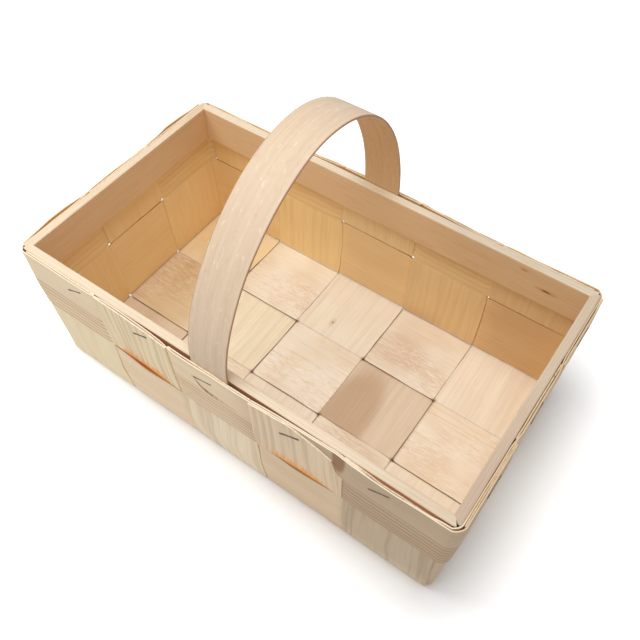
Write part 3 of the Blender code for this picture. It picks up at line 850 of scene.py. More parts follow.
def make_staple(wall, order, number, low, high):
    """A bent wire: a flat section carried along legs, two tight bends and a slightly bowed crown.

    The bends are quarter circles. The crown lies on the outermost strip and dips a little in
    the middle.
    """
    shifts, rises, tilts, width = staple_rows["long" if is_long(wall) else "short"]
    words = cross_letters if is_long(wall) else long_words
    middle = (low + high) / 2
    if number == 0 or number == len(words) - 1:
        pitch = cross_pitch if is_long(wall) else long_pitch
        sign = 1 if wall in (FRONT, RIGHT) else -1
        middle = sign * (number - (len(words) - 1) / 2) * pitch
    along = middle + shifts[order] * width
    height = slat_bottom + rises[order] * slat_height
    tilt = np.radians(tilts[order])
    layer = 2 if lap_zone(wall, number) else 1
    level = lap_levels[2] if layer == 2 else layer_step
    distance = slat_outer_y if is_long(wall) else slat_outer_x
    tip = distance - slat_thickness + 0.0008
    half = (staple_crown - wire_thickness) / 2
    turn = np.linspace(0, np.pi / 2, 7)
    bend = 0.0011
    leg = np.linspace(0, 1, 7)[:-1]
    crown = np.linspace(-half + bend, half - bend, 14)[1:-1]
    across = np.concatenate((np.full(6, -half), -half + bend - bend * np.cos(turn), crown,
                             half - bend + bend * np.sin(turn), np.full(6, half)))
    raised = np.concatenate((leg, 1 + 0 * turn, 1 + 0 * crown, 1 + 0 * turn, leg[::-1]))
    dip = np.concatenate((0 * leg, bend - bend * np.sin(turn), 0 * crown,
                          bend - bend * np.cos(turn), 0 * leg))
    place = along + across * np.cos(tilt)
    tall = height + across * np.sin(tilt)
    share = (place - low) / (high - low)
    rise = (tall - row_seam) / (strip_top - row_seam)
    bow = 0.0
    if wall == LEFT and stake_layers(wall, number)[1]:
        bow = left_bow_height * hump(share) * np.clip(rise, 0, 1)
    signed = place if wall in (FRONT, RIGHT) else -place
    surface = weave_distance(wall, signed, tall) + level + splint_thickness / 2 + bow
    if lap_zone(wall, number):
        surface = surface + upper_hoop_shape(wall, place, rise - 0.5)
    lift = surface - 0.00030 + wire_thickness / 2
    lift = lift - 0.00022 * (1 - np.cos(2 * np.pi * (across / half + 1) / 2)) / 2
    out = np.where(raised < 1, tip + (lift - bend - tip) * raised, lift - dip)
    path = wall_point(wall, out, place, tall)
    tangent = np.gradient(path, axis=0)
    tangent /= np.linalg.norm(tangent, axis=1)[:, None]
    crown_way = wall_out[(wall + 1) % 4] * np.cos(tilt) + np.array((0, 0, np.sin(tilt)))
    wire_way = np.cross(wall_out[wall], crown_way)
    thick_way = np.cross(tangent, wire_way)
    spin = np.linspace(0, 2 * np.pi, 17)[:-1]
    power = 0.6
    flat = np.sign(np.cos(spin)) * np.abs(np.cos(spin)) ** power * wire_width / 2
    deep = np.sign(np.sin(spin)) * np.abs(np.sin(spin)) ** power * wire_thickness / 2
    taper = np.concatenate((np.linspace(0.45, 1, 4), np.ones(len(path) - 8),
                            np.linspace(1, 0.45, 4)))
    rings = (path[:, None, :]
             + wire_way[None, None, :] * (flat[None, :] * taper[:, None])[..., None]
             + thick_way[:, None, :] * (deep[None, :] * taper[:, None])[..., None])
    length = np.concatenate(((0,), np.cumsum(np.linalg.norm(np.diff(path, axis=0), axis=1))))
    name = "staple_" + wall_words[wall] + "_" + words[number]
    return loft(name + "_wire", rings, length, spin * 0.0004, 0.0, 0.9), name


# Finishes ----------------------------------------------------------------------------------

class Reading:
    """A number read over a surface, so that sums of readings are plain expressions."""

    def __init__(self, recipe, socket):
        self.recipe, self.socket = recipe, socket

    def _with(self, operation, first, second=None):
        sockets = {0: first} if second is None else {0: first, 1: second}
        return self.recipe.value("ShaderNodeMath", {"operation": operation}, sockets)

    def __add__(self, other): return self._with("ADD", self, other)
    def __radd__(self, other): return self._with("ADD", other, self)
    def __sub__(self, other): return self._with("SUBTRACT", self, other)
    def __rsub__(self, other): return self._with("SUBTRACT", other, self)
    def __mul__(self, other): return self._with("MULTIPLY", self, other)
    def __rmul__(self, other): return self._with("MULTIPLY", other, self)
    def __truediv__(self, other): return self._with("DIVIDE", self, other)
    def __pow__(self, other): return self._with("POWER", self, other)

    def part(self):
        return self._with("FRACT", self)

    def size(self):
        return self._with("ABSOLUTE", self)

    def held(self, low=0.0, high=1.0):
        return self._with("MINIMUM", self._with("MAXIMUM", self, low), high)

    def eased(self, low, high):
        """0 below low, 1 above high and a smooth step between."""
        return self.recipe.value("ShaderNodeMapRange", {"interpolation_type": "SMOOTHSTEP"},
                                 {"Value": self, "From Min": low, "From Max": high})


class Recipe:
    """A finish: one shader with the nodes that vary its colour, roughness and relief."""

    def __init__(self, name, kind="materials"):
        self.finish = getattr(bpy.data, kind).new(name)
        self.finish.use_nodes = True
        self.tree = self.finish.node_tree
        self.tree.nodes.clear()
        self.column = 0

    def node(self, kind, settings=None, sockets=None):
        """One node of a type, its settings first and then the values or links of its sockets."""
        node = self.tree.nodes.new(kind)
        self.column += 1
        node.location = (180 * (self.column % 12), -160 * (self.column // 12))
        for key, setting in (settings or {}).items():
            setattr(node, key, setting)
        for key, given in (sockets or {}).items():
            if isinstance(given, Reading):
                given = given.socket
            if isinstance(given, bpy.types.NodeSocket):
                self.tree.links.new(given, node.inputs[key])
            else:
                node.inputs[key].default_value = given
        return node

    def value(self, kind, settings=None, sockets=None, output=0):
        return Reading(self, self.node(kind, settings, sockets).outputs[output])

    def point(self, x, y, z=0.0):
        return self.node("ShaderNodeCombineXYZ", None, {0: x, 1: y, 2: z}).outputs[0]

    def grain(self):
        """Distances along and across the grain, from the UV map."""
        uv = self.node("ShaderNodeUVMap", {"uv_map": "grain"}).outputs[0]
        split = self.node("ShaderNodeSeparateXYZ", None, {0: uv})
        return Reading(self, split.outputs[0]), Reading(self, split.outputs[1])

    def noise(self, x, y, z=0.0, detail=2.0, rough=0.5):
        """Noise from 0 to 1 at a point whose coordinates are already scaled."""
        return self.value("ShaderNodeTexNoise", {"noise_dimensions": "3D"},
                          {"Vector": self.point(x, y, z), "Scale": 1.0, "Detail": detail,
                           "Roughness": rough})

    def stain(self, share, color, by):
        """Colour multiplied by another colour where share is 1."""
        return self.tint(share, color, by, "MULTIPLY")

    def tint(self, share, low, high, blend="MIX"):
        """Colour between two colours."""
        node = self.node("ShaderNodeMix", {"data_type": "RGBA", "clamp_factor": True,
                                           "blend_type": blend})
        for place, given in ((0, share), (6, low), (7, high)):
            socket = node.inputs[place]
            if isinstance(given, Reading):
                given = given.socket
            if isinstance(given, bpy.types.NodeSocket):
                self.tree.links.new(given, socket)
            else:
                socket.default_value = (*given[:3], 1.0) if socket.type == "RGBA" else given
        return node.outputs[2]

    def finished(self, color, roughness, relief=None, strength=0.3, constants=None):
        sockets = {"Base Color": color, "Roughness": roughness}
        if relief is not None:
            bump = self.node("ShaderNodeBump", None, {"Height": relief, "Strength": strength,
                                                      "Distance": 0.0002})
            sockets["Normal"] = bump.outputs[0]
        sockets.update(constants or {})
        shader = self.node("ShaderNodeBsdfPrincipled", None, sockets)
        self.node("ShaderNodeOutputMaterial", None, {0: shader.outputs[0]})
        return self.finish


def shade_of(color, share):
    """A colour made darker or lighter by a factor."""
    return tuple(min(channel * share, 1.0) for channel in color[:3])


def window_of(r, place, low, high, soft):
    """1 between low and high and 0 outside, with soft flanks."""
    return place.eased(low - soft, low + soft) * (1 - place.eased(high - soft, high + soft))


def splint_finish(name, seed, wood, look):
    """Sliced pine.

    Bundles of ring lines are the sharp upper ends of a sawtooth over the width, which wanders
    sideways along the grain. Streaks are soft bands along the grain, fibres are noise drawn
    out along it, and bright rays and flecks in patches, mostly on the floor, are painted glints
    of the sheen on its fibres, over the wood's own rays. The inner skin of a wall is painted
    warmer than the rest, for the light that wood bounces onto it from every side; inner skins
    are painted darker where walls and the handle cast shade, on the far walls and near the tops
    behind the slats. Outer skins are painted greyer towards the right, where less light falls.
    Cut edges are pale, darker in some windows along the strip, and on the floor painted dark for
    the shade in its seams; ends show stippled end grain. Near gaps an orange glow of light
    through thin wood is painted as colour and emission, and painted shade darkens the split, the
    seams and the holes at the nodes.
    """
    pale, warm, line = wood
    r = Recipe(name)
    u, v = r.grain()
    cut = r.value("ShaderNodeAttribute", {"attribute_name": "cut"}, None, 2)
    through = r.value("ShaderNodeAttribute", {"attribute_name": "through"}, None, 2)
    wander = v + (r.noise(u * 6, v * 12, seed) - 0.5) * (2 * look.get("wander", 0.004))
    tone = r.noise(u * 3, wander * 45, seed + 5.5, 2.0)
    color = r.tint((tone - 0.38) * look.get("broad", 1.2), pale, warm)

    spacing, depth = look.get("streaks", (0.006, 0.25))
    outer = window_of(r, cut, 0.2, 0.3, 0.03)
    streak = r.noise(u * 5, wander * (0.6 / spacing), seed + 2.9, 2.0, 0.55).eased(0.44, 0.64)
    streak = streak * (0.35 + 0.65 * outer)
    color = r.tint(streak * depth, color, shade_of(warm, 0.78))
    ridges = streak * 0.5
    for low, high, start, end, gap, strong in look.get("lines", ()):
        saw = (wander / gap + (r.noise(u * 2, wander * 30, seed + low * 90, 1.0) - 0.5)).part()
        rows = (saw ** 2.0) * window_of(r, v, low, high, 0.0015)
        rows = rows * window_of(r, u, start, end, 0.02) * (0.3 + 0.7 * outer)
        ridges = ridges + rows * 0.5
        color = r.tint(rows * strong, color, line)
    for place, width, start, end, strong, dark in look.get("bands", ()):
        near = 1 - ((wander - place).size()).eased(width * 0.35, width)
        color = r.tint(near * window_of(r, u, start, end, 0.012) * strong, color, dark)
    for (mark_u, mark_v), (size_u, size_v), strong, dark in look.get("marks", ()):
        apart = ((u - mark_u) / size_u) ** 2.0 + ((v - mark_v) / size_v) ** 2.0
        color = r.tint((1 - apart.eased(0.3, 1.0)) * strong, color, dark)

    fibre = r.noise(u * 26, v * 1300, seed + 1.3, 3.0, 0.6)
    fine = r.noise(u * 60, v * 2600, seed + 8.1, 1.0)
    color = r.stain(fibre.eased(0.35, 0.75) * 0.30 + (fine - 0.5) * 0.12, color, (0.80, 0.68, 0.54))
    low, high = look.get("floor", (9.0, 9.1))
    floor = window_of(r, u, low, high, 0.004) if low < 9 else 0.0
    sparkle = look.get("sparkle", 0.2) * (0.15 + 0.85 * floor)
    patch = r.noise(u * 11, v * 20, seed + 4.2, 1.0).eased(0.36, 0.60)
    rays = r.noise(u * 150, v * 620 + (r.noise(u * 60, v * 30, seed + 3.1, 0.0) - 0.5) * 0.8,
                   seed + 7.7, 1.0)
    flecks = r.noise(u * 380, v * 640, seed + 9.4, 1.0).eased(0.61, 0.69)
    cloud = r.noise(u * 26, v * 34, seed + 1.9, 1.0).eased(0.42, 0.66)
    long = r.noise(u * 13, v * 430, seed + 6.9, 1.0).eased(0.60, 0.72)
    color = r.stain(cloud * (sparkle * 0.7), color, (0.90, 0.80, 0.71))
    # Painted glints: the bright rays and flecks in patches, mostly on the floor, stand for the
    # sheen on its fibres over the wood's own rays
    color = r.tint(rays.eased(0.54, 0.66) * patch * (sparkle * 0.8), color, (1.0, 0.95, 0.87))
    dull = (1 - rays.eased(0.33, 0.45)) * patch
    color = r.stain(dull * (sparkle * 0.5), color, (0.84, 0.74, 0.62))
    color = r.stain(long * (sparkle * 0.5), color, (0.84, 0.72, 0.57))
    color = r.tint(flecks * patch * (sparkle * 0.8), color, (1.0, 0.98, 0.94))

    color = r.stain(outer, color, look.get("outside", (1.0, 0.91, 0.79)))
    # Painted shade on the outer skins: greyer and darker towards the right, where less light falls
    for start, end, strong, dark in look.get("falloff_shade", ()):
        color = r.stain(outer * window_of(r, u, start, end, 0.03) * strong, color, dark)
    # Painted shade and painted warm bounce light on the inner skins: the shadows of the left wall
    # and the handle on the floor, and darker far walls
    for start, end, dark in look.get("shaded", ()):
        color = r.stain((1 - outer) * window_of(r, u, start, end, 0.025), color, dark)
    # Painted warm bounce light: the inner skins of the walls are tinted warmer
    inner = (1 - cut.eased(0.08, 0.14)) * (1 - floor if low < 9 else 1.0)
    color = r.stain(inner, color, look.get("inside", (1.0, 0.82, 0.53)))

    # Painted shade: the inner skins near the tops, behind the slats, are darker
    behind = (1 - cut.eased(0.08, 0.14)) * sum(window_of(r, here, a, b, 0.001) for here, a, b in
                                               ((u, -9.0, look.get("tips", (-9, 0))[0]),
                                                (u, look.get("tips", (0, 9))[1], 9.0),
                                                (v, look.get("upper", 9.0), 9.0)))
    color = r.stain(behind, color, (0.90, 0.76, 0.62))

    stipple = r.noise(u * 300, v * 420, seed + 6.0, 3.0, 0.6)
    end_color = r.tint(stipple.eased(0.30, 0.60), (0.80, 0.66, 0.44), (0.93, 0.82, 0.62))
    end_color = r.tint(stipple.eased(0.63, 0.70) * 0.6, end_color, (0.30, 0.17, 0.08))
    edge_color = r.tint(fibre, shade_of(pale, 1.0), shade_of(warm, 0.95))
    if "dark_edge" in look:
        edge_color = r.stain(1 - v.eased(look["dark_edge"], look["dark_edge"] + 0.01), edge_color,
                             (0.50, 0.33, 0.18))
    # On the floor the cut edges are painted dark brown, for the shade in the seams between the
    # strips
    if low < 9:
        edge_color = r.tint(floor, r.stain(1.0, edge_color, (0.90, 0.80, 0.58)),
                            r.stain(1.0, edge_color, (0.45, 0.28, 0.15)))
    color = r.tint(cut.eased(0.35, 0.45), color, edge_color)
    color = r.tint(cut.eased(0.7, 0.8), color, end_color)
    # Cut edges and ends are darker in some windows along the strip, most on the right wall
    for start, end, dark in look.get("darker_edges", ()):
        color = r.stain(cut.eased(0.35, 0.45) * window_of(r, u, start, end, 0.008), color, dark)
    # Painted glow and shade from the attribute through: orange colour with a little emission where
    # light would come through thin wood, and dark brown in the split, the seams and the node holes
    ragged = (r.noise(u * 90, v * 560, seed + 2.2, 2.0) - 0.55) * 3.0
    lit = (through * 1.35 + ragged * through.eased(0.02, 0.35)).held()
    color = r.tint(lit, color, (0.74, 0.36, 0.11))
    color = r.tint((0 - through).held(), color, (0.24, 0.12, 0.045))
    relief = fibre * 0.5 + ridges * 0.6 + rays * patch * (sparkle * 1.2)
    rough = (0.60 - 0.14 * patch * (sparkle * 2) + 0.12 * fibre).held(0.28, 0.9)
    return r.finished(color, rough, relief, 0.45,
                      {"Specular IOR Level": 0.35, "Emission Strength": 0.17,
                       "Emission Color": r.tint(lit, (0.0, 0.0, 0.0), (0.80, 0.30, 0.06))})


def slat_finish(name, seed, wood, knots=(), painted_shade_fade=(0.0, 0.1, (1.0, 1.0, 1.0)),
                outside=(1.0, 1.0, 1.0)):
    """Planed pine slats: ring lines, faint saw marks and small knots; the inner face is painted
    warmer for the light bounced inside the basket, the outer face darker for the shade in the gap
    behind the strips, and one end darker where less light falls.
    """
    pale, warm, line = wood
    r = Recipe(name)
    u, v = r.grain()
    wander = v + (r.noise(u * 4, v * 20, seed) - 0.5) * 0.004
    saw = (wander * 420 + r.noise(u * 2, v * 90, seed + 3, 1.0) * 2.5).part()
    late = saw ** 3.0
    fibre = r.noise(u * 45, v * 1100, seed + 1.3, 3.0, 0.6)
    smudge = r.noise(u * 24, v * 150, seed + 8.0, 3.0, 0.6)
    tone = r.noise(u * 7, v * 100, seed + 5.5, 2.0)
    color = r.tint((tone - 0.3) * 1.3, pale, warm)
    color = r.tint(late * 0.22, color, line)
    color = r.stain(smudge.eased(0.52, 0.8) * 0.35, color, (0.80, 0.66, 0.52))
    for (knot_u, knot_v), (size_u, size_v), depth in knots:
        apart = ((u - knot_u) / size_u) ** 2.0 + ((v - knot_v) / size_v) ** 2.0
        color = r.tint((1 - apart.eased(0.2, 1.0)) * depth, color, (0.14, 0.075, 0.035))
        halo = ((u - knot_u) / (size_u * 2.6)) ** 2.0 + ((v - knot_v) / (size_v * 3.0)) ** 2.0
        color = r.stain((1 - halo.eased(0.1, 1.0)) * 0.6, color, (0.78, 0.58, 0.40))
    color = r.stain((fibre - 0.42) * 0.7, color, (0.72, 0.56, 0.42))
    # Painted light and shade: the inner face warmer for the light bounced inside the basket, the
    # outer face darker for the shade in the gap behind the strips, and one end darker where less
    # light falls
    inner = window_of(r, v, 0.0073, 0.0390, 0.0006)
    color = r.stain(inner, color, (0.97, 0.82, 0.64))
    color = r.stain(window_of(r, v, 0.0460, 0.0766, 0.0006), color, outside)
    color = r.stain(u.eased(*painted_shade_fade[:2]), color, painted_shade_fade[2])
    chatter = (r.noise(u * 420, v * 30, seed + 6.6, 1.0) - 0.5)
    relief = fibre * 0.5 + smudge * 0.4 + chatter * 0.3
    rough = (0.55 + 0.15 * fibre).held()
    return r.finished(color, rough, relief, 0.4, {"Specular IOR Level": 0.35})


def handle_finish(name, wood):
    """Steamed and bent strip: close straight grain, pale rays, pin knots, browner sides, and an
    inner face painted warmer for the light bounced inside the basket.
    """
    pale, warm, line = wood
    r = Recipe(name)
    u, v = r.grain()
    wander = v + (r.noise(u * 6, v * 30, 2.0) - 0.5) * 0.004
    fibre = r.noise(u * 30, v * 900, 1.3, 3.0, 0.6)
    band = r.noise(u * 3, wander * 180, 5.0, 2.0)
    rays = r.noise(u * 170, v * 420, 8.0, 2.0, 0.5)
    pins = r.noise(u * 150, v * 330, 12.0, 1.0, 0.7).eased(0.74, 0.82)
    color = r.tint((band - 0.25) * 1.5, pale, warm)
    color = r.stain(rays.eased(0.58, 0.75) * 0.30, color, (0.84, 0.70, 0.56))
    color = r.tint((1 - rays.eased(0.25, 0.40)) * 0.35, color, (0.98, 0.86, 0.72))
    color = r.tint(pins * 0.35, color, shade_of(line, 0.8))
    color = r.stain((fibre - 0.40) * 0.8, color, (0.74, 0.60, 0.48))
    half = 0.0315
    # Painted warm bounce light: the inner face, which looks into the basket, is tinted warmer
    under = window_of(r, v, half + 0.0008, 2 * half + 0.0004, 0.0006)
    color = r.stain(under, color, (1.0, 0.84, 0.62))
    first, second, last = (window_of(r, v, at - 0.0008, at + 0.0008, 0.0004)
                           for at in (0.0, half, 2 * half + 0.0016))
    color = r.stain((first + second + last).held() * 0.8, color, (0.62, 0.42, 0.28))
    relief = fibre * 0.6 + rays * 0.3
    rough = (0.5 + 0.15 * fibre).held()
    return r.finished(color, rough, relief, 0.35, {"Specular IOR Level": 0.35})


def wire_finish(name, color):
    """Drawn steel wire, dull, with faint even grime in its colour, roughness and relief."""
    r = Recipe(name)
    place = r.node("ShaderNodeTexCoord").outputs["Object"]
    split = r.node("ShaderNodeSeparateXYZ", None, {0: place})
    x, y, z = (Reading(r, split.outputs[i]) for i in range(3))
    grime = r.noise(x * 700, y * 700, z * 700, 3.0, 0.6)
    tone = r.tint(grime.eased(0.3, 0.7), shade_of(color, 0.7), shade_of(color, 1.4))
    rough = 0.38 + 0.25 * grime
    return r.finished(tone, rough, grime, 0.2, {"Metallic": 0.35})


# Settings of the add-on --------------------------------------------------------------------

class BasketSizes(bpy.types.PropertyGroup):
    """Sizes a maker may change."""
    mesh_step: FloatProperty(name="Mesh step", description="Distance between points on the strips",
                             default=0.0021, min=0.001, max=0.01, unit="LENGTH")
    seam_pinch: FloatProperty(name="Seam pinch", description="How far edges draw in at a crossing",
                              default=0.0006, min=0.0, max=0.003, unit="LENGTH")


class WoodColors(bpy.types.PropertyGroup):
    """Colours a maker may change."""
    pale: FloatVectorProperty(name="Pale wood", description="Early wood of the splints",
                              default=(0.97, 0.90, 0.76), min=0, max=1, subtype="COLOR")
    warm: FloatVectorProperty(name="Warm wood", description="Broad darker bands of the splints",
                              default=(0.93, 0.79, 0.61), min=0, max=1, subtype="COLOR")
    line: FloatVectorProperty(name="Ring lines", description="Late wood of the splints",
                              default=(0.48, 0.25, 0.12), min=0, max=1, subtype="COLOR")
    slat: FloatVectorProperty(name="Slats", description="Planed slats",
                              default=(0.88, 0.75, 0.57), min=0, max=1, subtype="COLOR")
    handle: FloatVectorProperty(name="Handle", description="Bent strip",
                                default=(0.76, 0.60, 0.440), min=0, max=1, subtype="COLOR")
    wire: FloatVectorProperty(name="Staples", description="Steel wire",
                              default=(0.11, 0.09, 0.06), min=0, max=1, subtype="COLOR")
    floor: FloatVectorProperty(name="Floor", description="Floor and backdrop",
                               default=(0.86, 0.86, 0.86), min=0, max=1, subtype="COLOR")


class StageLight(bpy.types.PropertyGroup):
    """Light a maker may change."""
    sky: FloatProperty(name="Sky", description="Strength of the even light", default=0.47, min=0)
    ceiling: FloatProperty(name="Ceiling", description="Power of the wide lamp overhead",
                           default=5.5, min=0, unit="POWER")
    window: FloatProperty(name="Window", description="Power of the near lamp at the front left",
                          default=1.95, min=0, unit="POWER")
    lift: FloatProperty(name="Floor lift", description="Own brightness of the floor as the camera "
                        "sees it", default=0.50, min=0)


def dress(piece, node, finish):
    """Give a piece its finish, hang it under the root and hide its node of the frame."""
    piece.data.materials.append(finish)
    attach(piece, "root")
    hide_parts(node)


# Looks of each strip; places are distances along the grain (u) or across it (v)
plain = (1.0, 1.0, 1.0)
cross_floor, long_floor = (0.1255, 0.3225), (0.1255, 0.4755)
cross_tips, long_tips = (0.0305, 0.4175), (0.0305, 0.5705)
# Heartwood brown, and a grey that paints shade on the outer skins towards the right
brown, right_shade_gray = (0.68, 0.50, 0.34), (0.66, 0.62, 0.60)
curved_streaks = {"streaks": (0.0027, 0.62), "wander": 0.010, "tips": cross_tips}
long_ends = {"inside": (1.0, 0.79, 0.49), "tips": long_tips,
             "falloff_shade": ((0.48, 9.0, 1.0, (0.86, 0.80, 0.76)),),
             "darker_edges": ((0.58, 9.0, (0.80, 0.68, 0.56)), (-9.0, 0.02, (0.96, 0.90, 0.82)))}
darker_back_edges = {"darker_edges": ((0.43, 9.0, (0.93, 0.87, 0.79)),)}
# In these looks the shaded windows are painted shade and painted warm bounce light, and the inside
# tints are painted warm bounce light
looks = {
    "cross_splint_a": {"tone": (0.99, 0.98, 0.94), "floor": cross_floor, "broad": 0.9,
                       "streaks": (0.008, 0.20), "wander": 0.003, "inside": (1.0, 0.80, 0.50),
                       "outside": (1.0, 0.93, 0.78), "tips": cross_tips, **darker_back_edges,
                       # Painted shade of the left wall on the floor, then painted warm bounce light
                       # on the far cell
                       "shaded": ((0.1255, 0.2270, (0.85, 0.78, 0.73)),
                                  (0.2560, 0.3225, (1.00, 0.88, 0.66)))},
    "cross_splint_b": {"tone": (0.99, 0.98, 0.90), "floor": cross_floor, "broad": 0.6,
                       "streaks": (0.0027, 0.62), "wander": 0.011, "tips": cross_tips, **darker_back_edges},
    "cross_splint_c": {"tone": plain, "floor": cross_floor, "broad": 0.7, **curved_streaks,
                       **darker_back_edges, "shaded": ((0.3225, 9.0, (0.93, 0.94, 0.95)),),
                       "marks": (((0.2715, -0.0077), (0.0016, 0.0011), 0.75, (0.30, 0.13, 0.06)),
                                 ((0.2715, -0.0077), (0.0060, 0.0032), 0.25, (0.62, 0.40, 0.22)))},
    "cross_splint_d": {"tone": (0.95, 0.91, 0.88), "floor": cross_floor, "broad": 0.9,
                       **curved_streaks, "bands": ((-0.016, 0.026, 0.13, 0.33, 0.35, brown),),
                       "marks": (((0.204, -0.016), (0.054, 0.026), 0.65, (0.60, 0.43, 0.28)),),
                       "sparkle": 0.0, **darker_back_edges,
                       # The floor window is the handle's painted shadow, the other painted shade on
                       # the far wall
                       "shaded": ((0.1255, 0.3225, (0.87, 0.84, 0.81)),
                                  (0.3225, 9.0, (0.93, 0.94, 0.95)))},
    "cross_splint_e": {"tone": plain, "floor": cross_floor, "broad": 0.8,
                       **curved_streaks, "falloff_shade": ((-0.1, 0.13, 1.0, right_shade_gray),), **darker_back_edges,
                       "shaded": ((0.3225, 9.0, (0.82, 0.79, 0.80)),)},
    "long_splint_front": {"tone": (0.98, 0.97, 0.96), "floor": long_floor, "sparkle": 0.5,
                          "streaks": (0.004, 0.22), **long_ends,
                          "shaded": ((0.1255, 0.1980, (0.90, 0.82, 0.74)),),
                          # The mark on the D cell is the handle's painted shadow
                          "marks": (((0.370, 0.000), (0.042, 0.050), 0.60, (0.74, 0.60, 0.46)),)},
    "long_splint_middle": {"tone": plain, "floor": long_floor, "sparkle": 0.8,
                           "shaded": ((0.1255, 0.1980, (0.86, 0.74, 0.56)),),
                           "streaks": (0.004, 0.20), **long_ends},
    "long_splint_back": {"tone": plain, "floor": long_floor, "sparkle": 0.7,
                         "streaks": (0.004, 0.18), **long_ends,
                         "shaded": ((0.1255, 0.1980, (0.92, 0.84, 0.70)),
                                    (0.3350, 0.4040, (0.92, 0.91, 0.91))),
                         # The second shaded window and this mark on the D cell are the handle's
                         # painted shadow
                         "marks": (((0.357, -0.006), (0.030, 0.020), 0.45, (0.80, 0.62, 0.46)),)},
    "lower_weaver": {"tone": (0.98, 0.93, 0.90), "broad": 0.9, "streaks": (0.009, 0.20),
                     "sparkle": 0.1, "dark_edge": 8.0,
                     "lines": ((-0.034, -0.014, -1.0, 0.27, 0.0040, 0.40),
                               (-0.034, -0.010, 0.84, 2.0, 0.0045, 0.40)),
                     "falloff_shade": ((0.68, 0.84, 0.6, (0.80, 0.76, 0.72)), (0.82, 1.03, 1.0, right_shade_gray)),
                     "shaded": ((1.03, 1.105, (0.76, 0.72, 0.73)),
                                (0.069, 0.138, (0.92, 0.93, 0.94)))},
    "upper_weaver": {"tone": (0.99, 0.95, 0.90), "broad": 0.9, "streaks": (0.009, 0.20),
                     "sparkle": 0.1, "upper": -0.0015, "dark_edge": 0.0,
                     # The mark is painted shade in the wedge beside the chipped fourth stake
                     "marks": (((1.1660, 0.0262), (0.0060, 0.0212), 0.85, (0.50, 0.26, 0.14)),),
                     "lines": ((-0.0295, 0.003, -1.0, 2.0, 0.0056, 0.66),
                               (0.008, 0.030, 0.20, 0.60, 0.0045, 0.25)),
                     "falloff_shade": ((1.10, 2.0, 1.0, right_shade_gray), (0.14, 0.34, 1.0, (0.84, 0.80, 0.78))),
                     "shaded": ((0.411, 0.480, (0.88, 0.90, 0.91)),),
                     "darker_edges": ((0.15, 0.34, (0.80, 0.68, 0.58)), (0.344, 0.69, (0.93, 0.87, 0.79)),
                              (0.69, 0.89, (0.96, 0.90, 0.82)), (1.24, 9.0, (0.80, 0.68, 0.58)))},
}
# Each slat: tone, knots, a darker end that is painted shade where less light falls, and the outer
# face's colour, painted shade in the gap behind the strips
slat_looks = {
    "front": ((0.985, 0.985, 0.985), (), (0.085, 0.165, (0.90, 0.88, 0.87)), (0.80, 0.52, 0.40)),
    "right": ((0.80, 0.77, 0.76), (), (0.03, -0.09, (0.88, 0.83, 0.85)), (0.70, 0.50, 0.40)),
    "back": ((0.99, 0.98, 0.96), (((-0.1495, 0.0232), (0.0045, 0.0009), 0.9),
                                  ((-0.1294, 0.0123), (0.0018, 0.0006), 0.3)),
             (0.07, -0.15, (0.92, 0.94, 0.96)), (0.86, 0.66, 0.50)),
    "left": ((0.98, 0.95, 0.92), (), (-0.02, -0.10, (0.94, 0.89, 0.85)), (0.90, 0.74, 0.58)),
}


def mixed(color, tone):
    """A colour times a tone, channel by channel."""
    return tuple(min(a * b, 1.0) for a, b in zip(color, tone))


def woods_of(colors, tone):
    """Pale wood, warm wood and ring lines for a strip of a certain tone."""
    return tuple(mixed(color, tone) for color in (colors.pale, colors.warm, colors.line))


class BASKET_OT_splints(bpy.types.Operator):
    """Make the eight splints of the floor with their stakes"""
    bl_idname = "basket.splints"
    bl_label = "Splints"

    def execute(self, context):
        sizes, colors = context.scene.basket_sizes, context.scene.basket_colors
        for number, word in enumerate((*cross_letters, *long_words)):
            piece, node = make_splint(word, sizes.mesh_step)
            finish = splint_finish(node + "_pine", 3.0 + 11.3 * number,
                                   woods_of(colors, looks[node]["tone"]), looks[node])
            dress(piece, node, finish)
        return {"FINISHED"}


class BASKET_OT_hoops(bpy.types.Operator):
    """Make the two hoops that weave round the stakes"""
    bl_idname = "basket.hoops"
    bl_label = "Hoops"

    def execute(self, context):
        sizes, colors = context.scene.basket_sizes, context.scene.basket_colors
        hoops = (
            ("lower_weaver", lapped(hoop_visits(0), 9, lower_lap_under, (lower_lap_over,)),
             weaver_bottom, row_seam - seam_gap / 2, 0.0, sizes.seam_pinch, lower_hoop_shape, 500),
            ("upper_weaver", lapped(hoop_visits(1), 3, lap_levels[0],
                                    (lap_levels[1], lap_levels[2], lap_levels[2])),
             row_seam + seam_gap / 2, strip_top, sizes.seam_pinch, 0.0, upper_hoop_shape, 520),
        )
        for name, visits, low, high, pinch_low, pinch_high, shape, seed in hoops:
            hoop = make_hoop(name, visits, low, high, sizes.mesh_step, pinch_low, pinch_high,
                             shape, seed)
            finish = splint_finish(name + "_pine", seed / 4.0,
                                   woods_of(colors, looks[name]["tone"]),
                                   looks[name])
            dress(hoop, name, finish)
        return {"FINISHED"}


class BASKET_OT_rim(bpy.types.Operator):
    """Make the four mitred slats of the rim"""
    bl_idname = "basket.rim"
    bl_label = "Rim slats"

    def execute(self, context):
        sizes, colors = context.scene.basket_sizes, context.scene.basket_colors
        for wall, word in enumerate(wall_words):
            tone, knots, painted_shade_fade, outside = slat_looks[word]
            pale = mixed(colors.slat, tone)
            finish = slat_finish("rim_slat_" + word + "_pine", 20.0 + 9.7 * wall,
                                 (pale, mixed(pale, (0.94, 0.88, 0.82)), tuple(colors.line)), knots,
                                 painted_shade_fade, outside)
            dress(make_slat(wall, sizes.mesh_step), "rim_slat_" + word, finish)
        return {"FINISHED"}


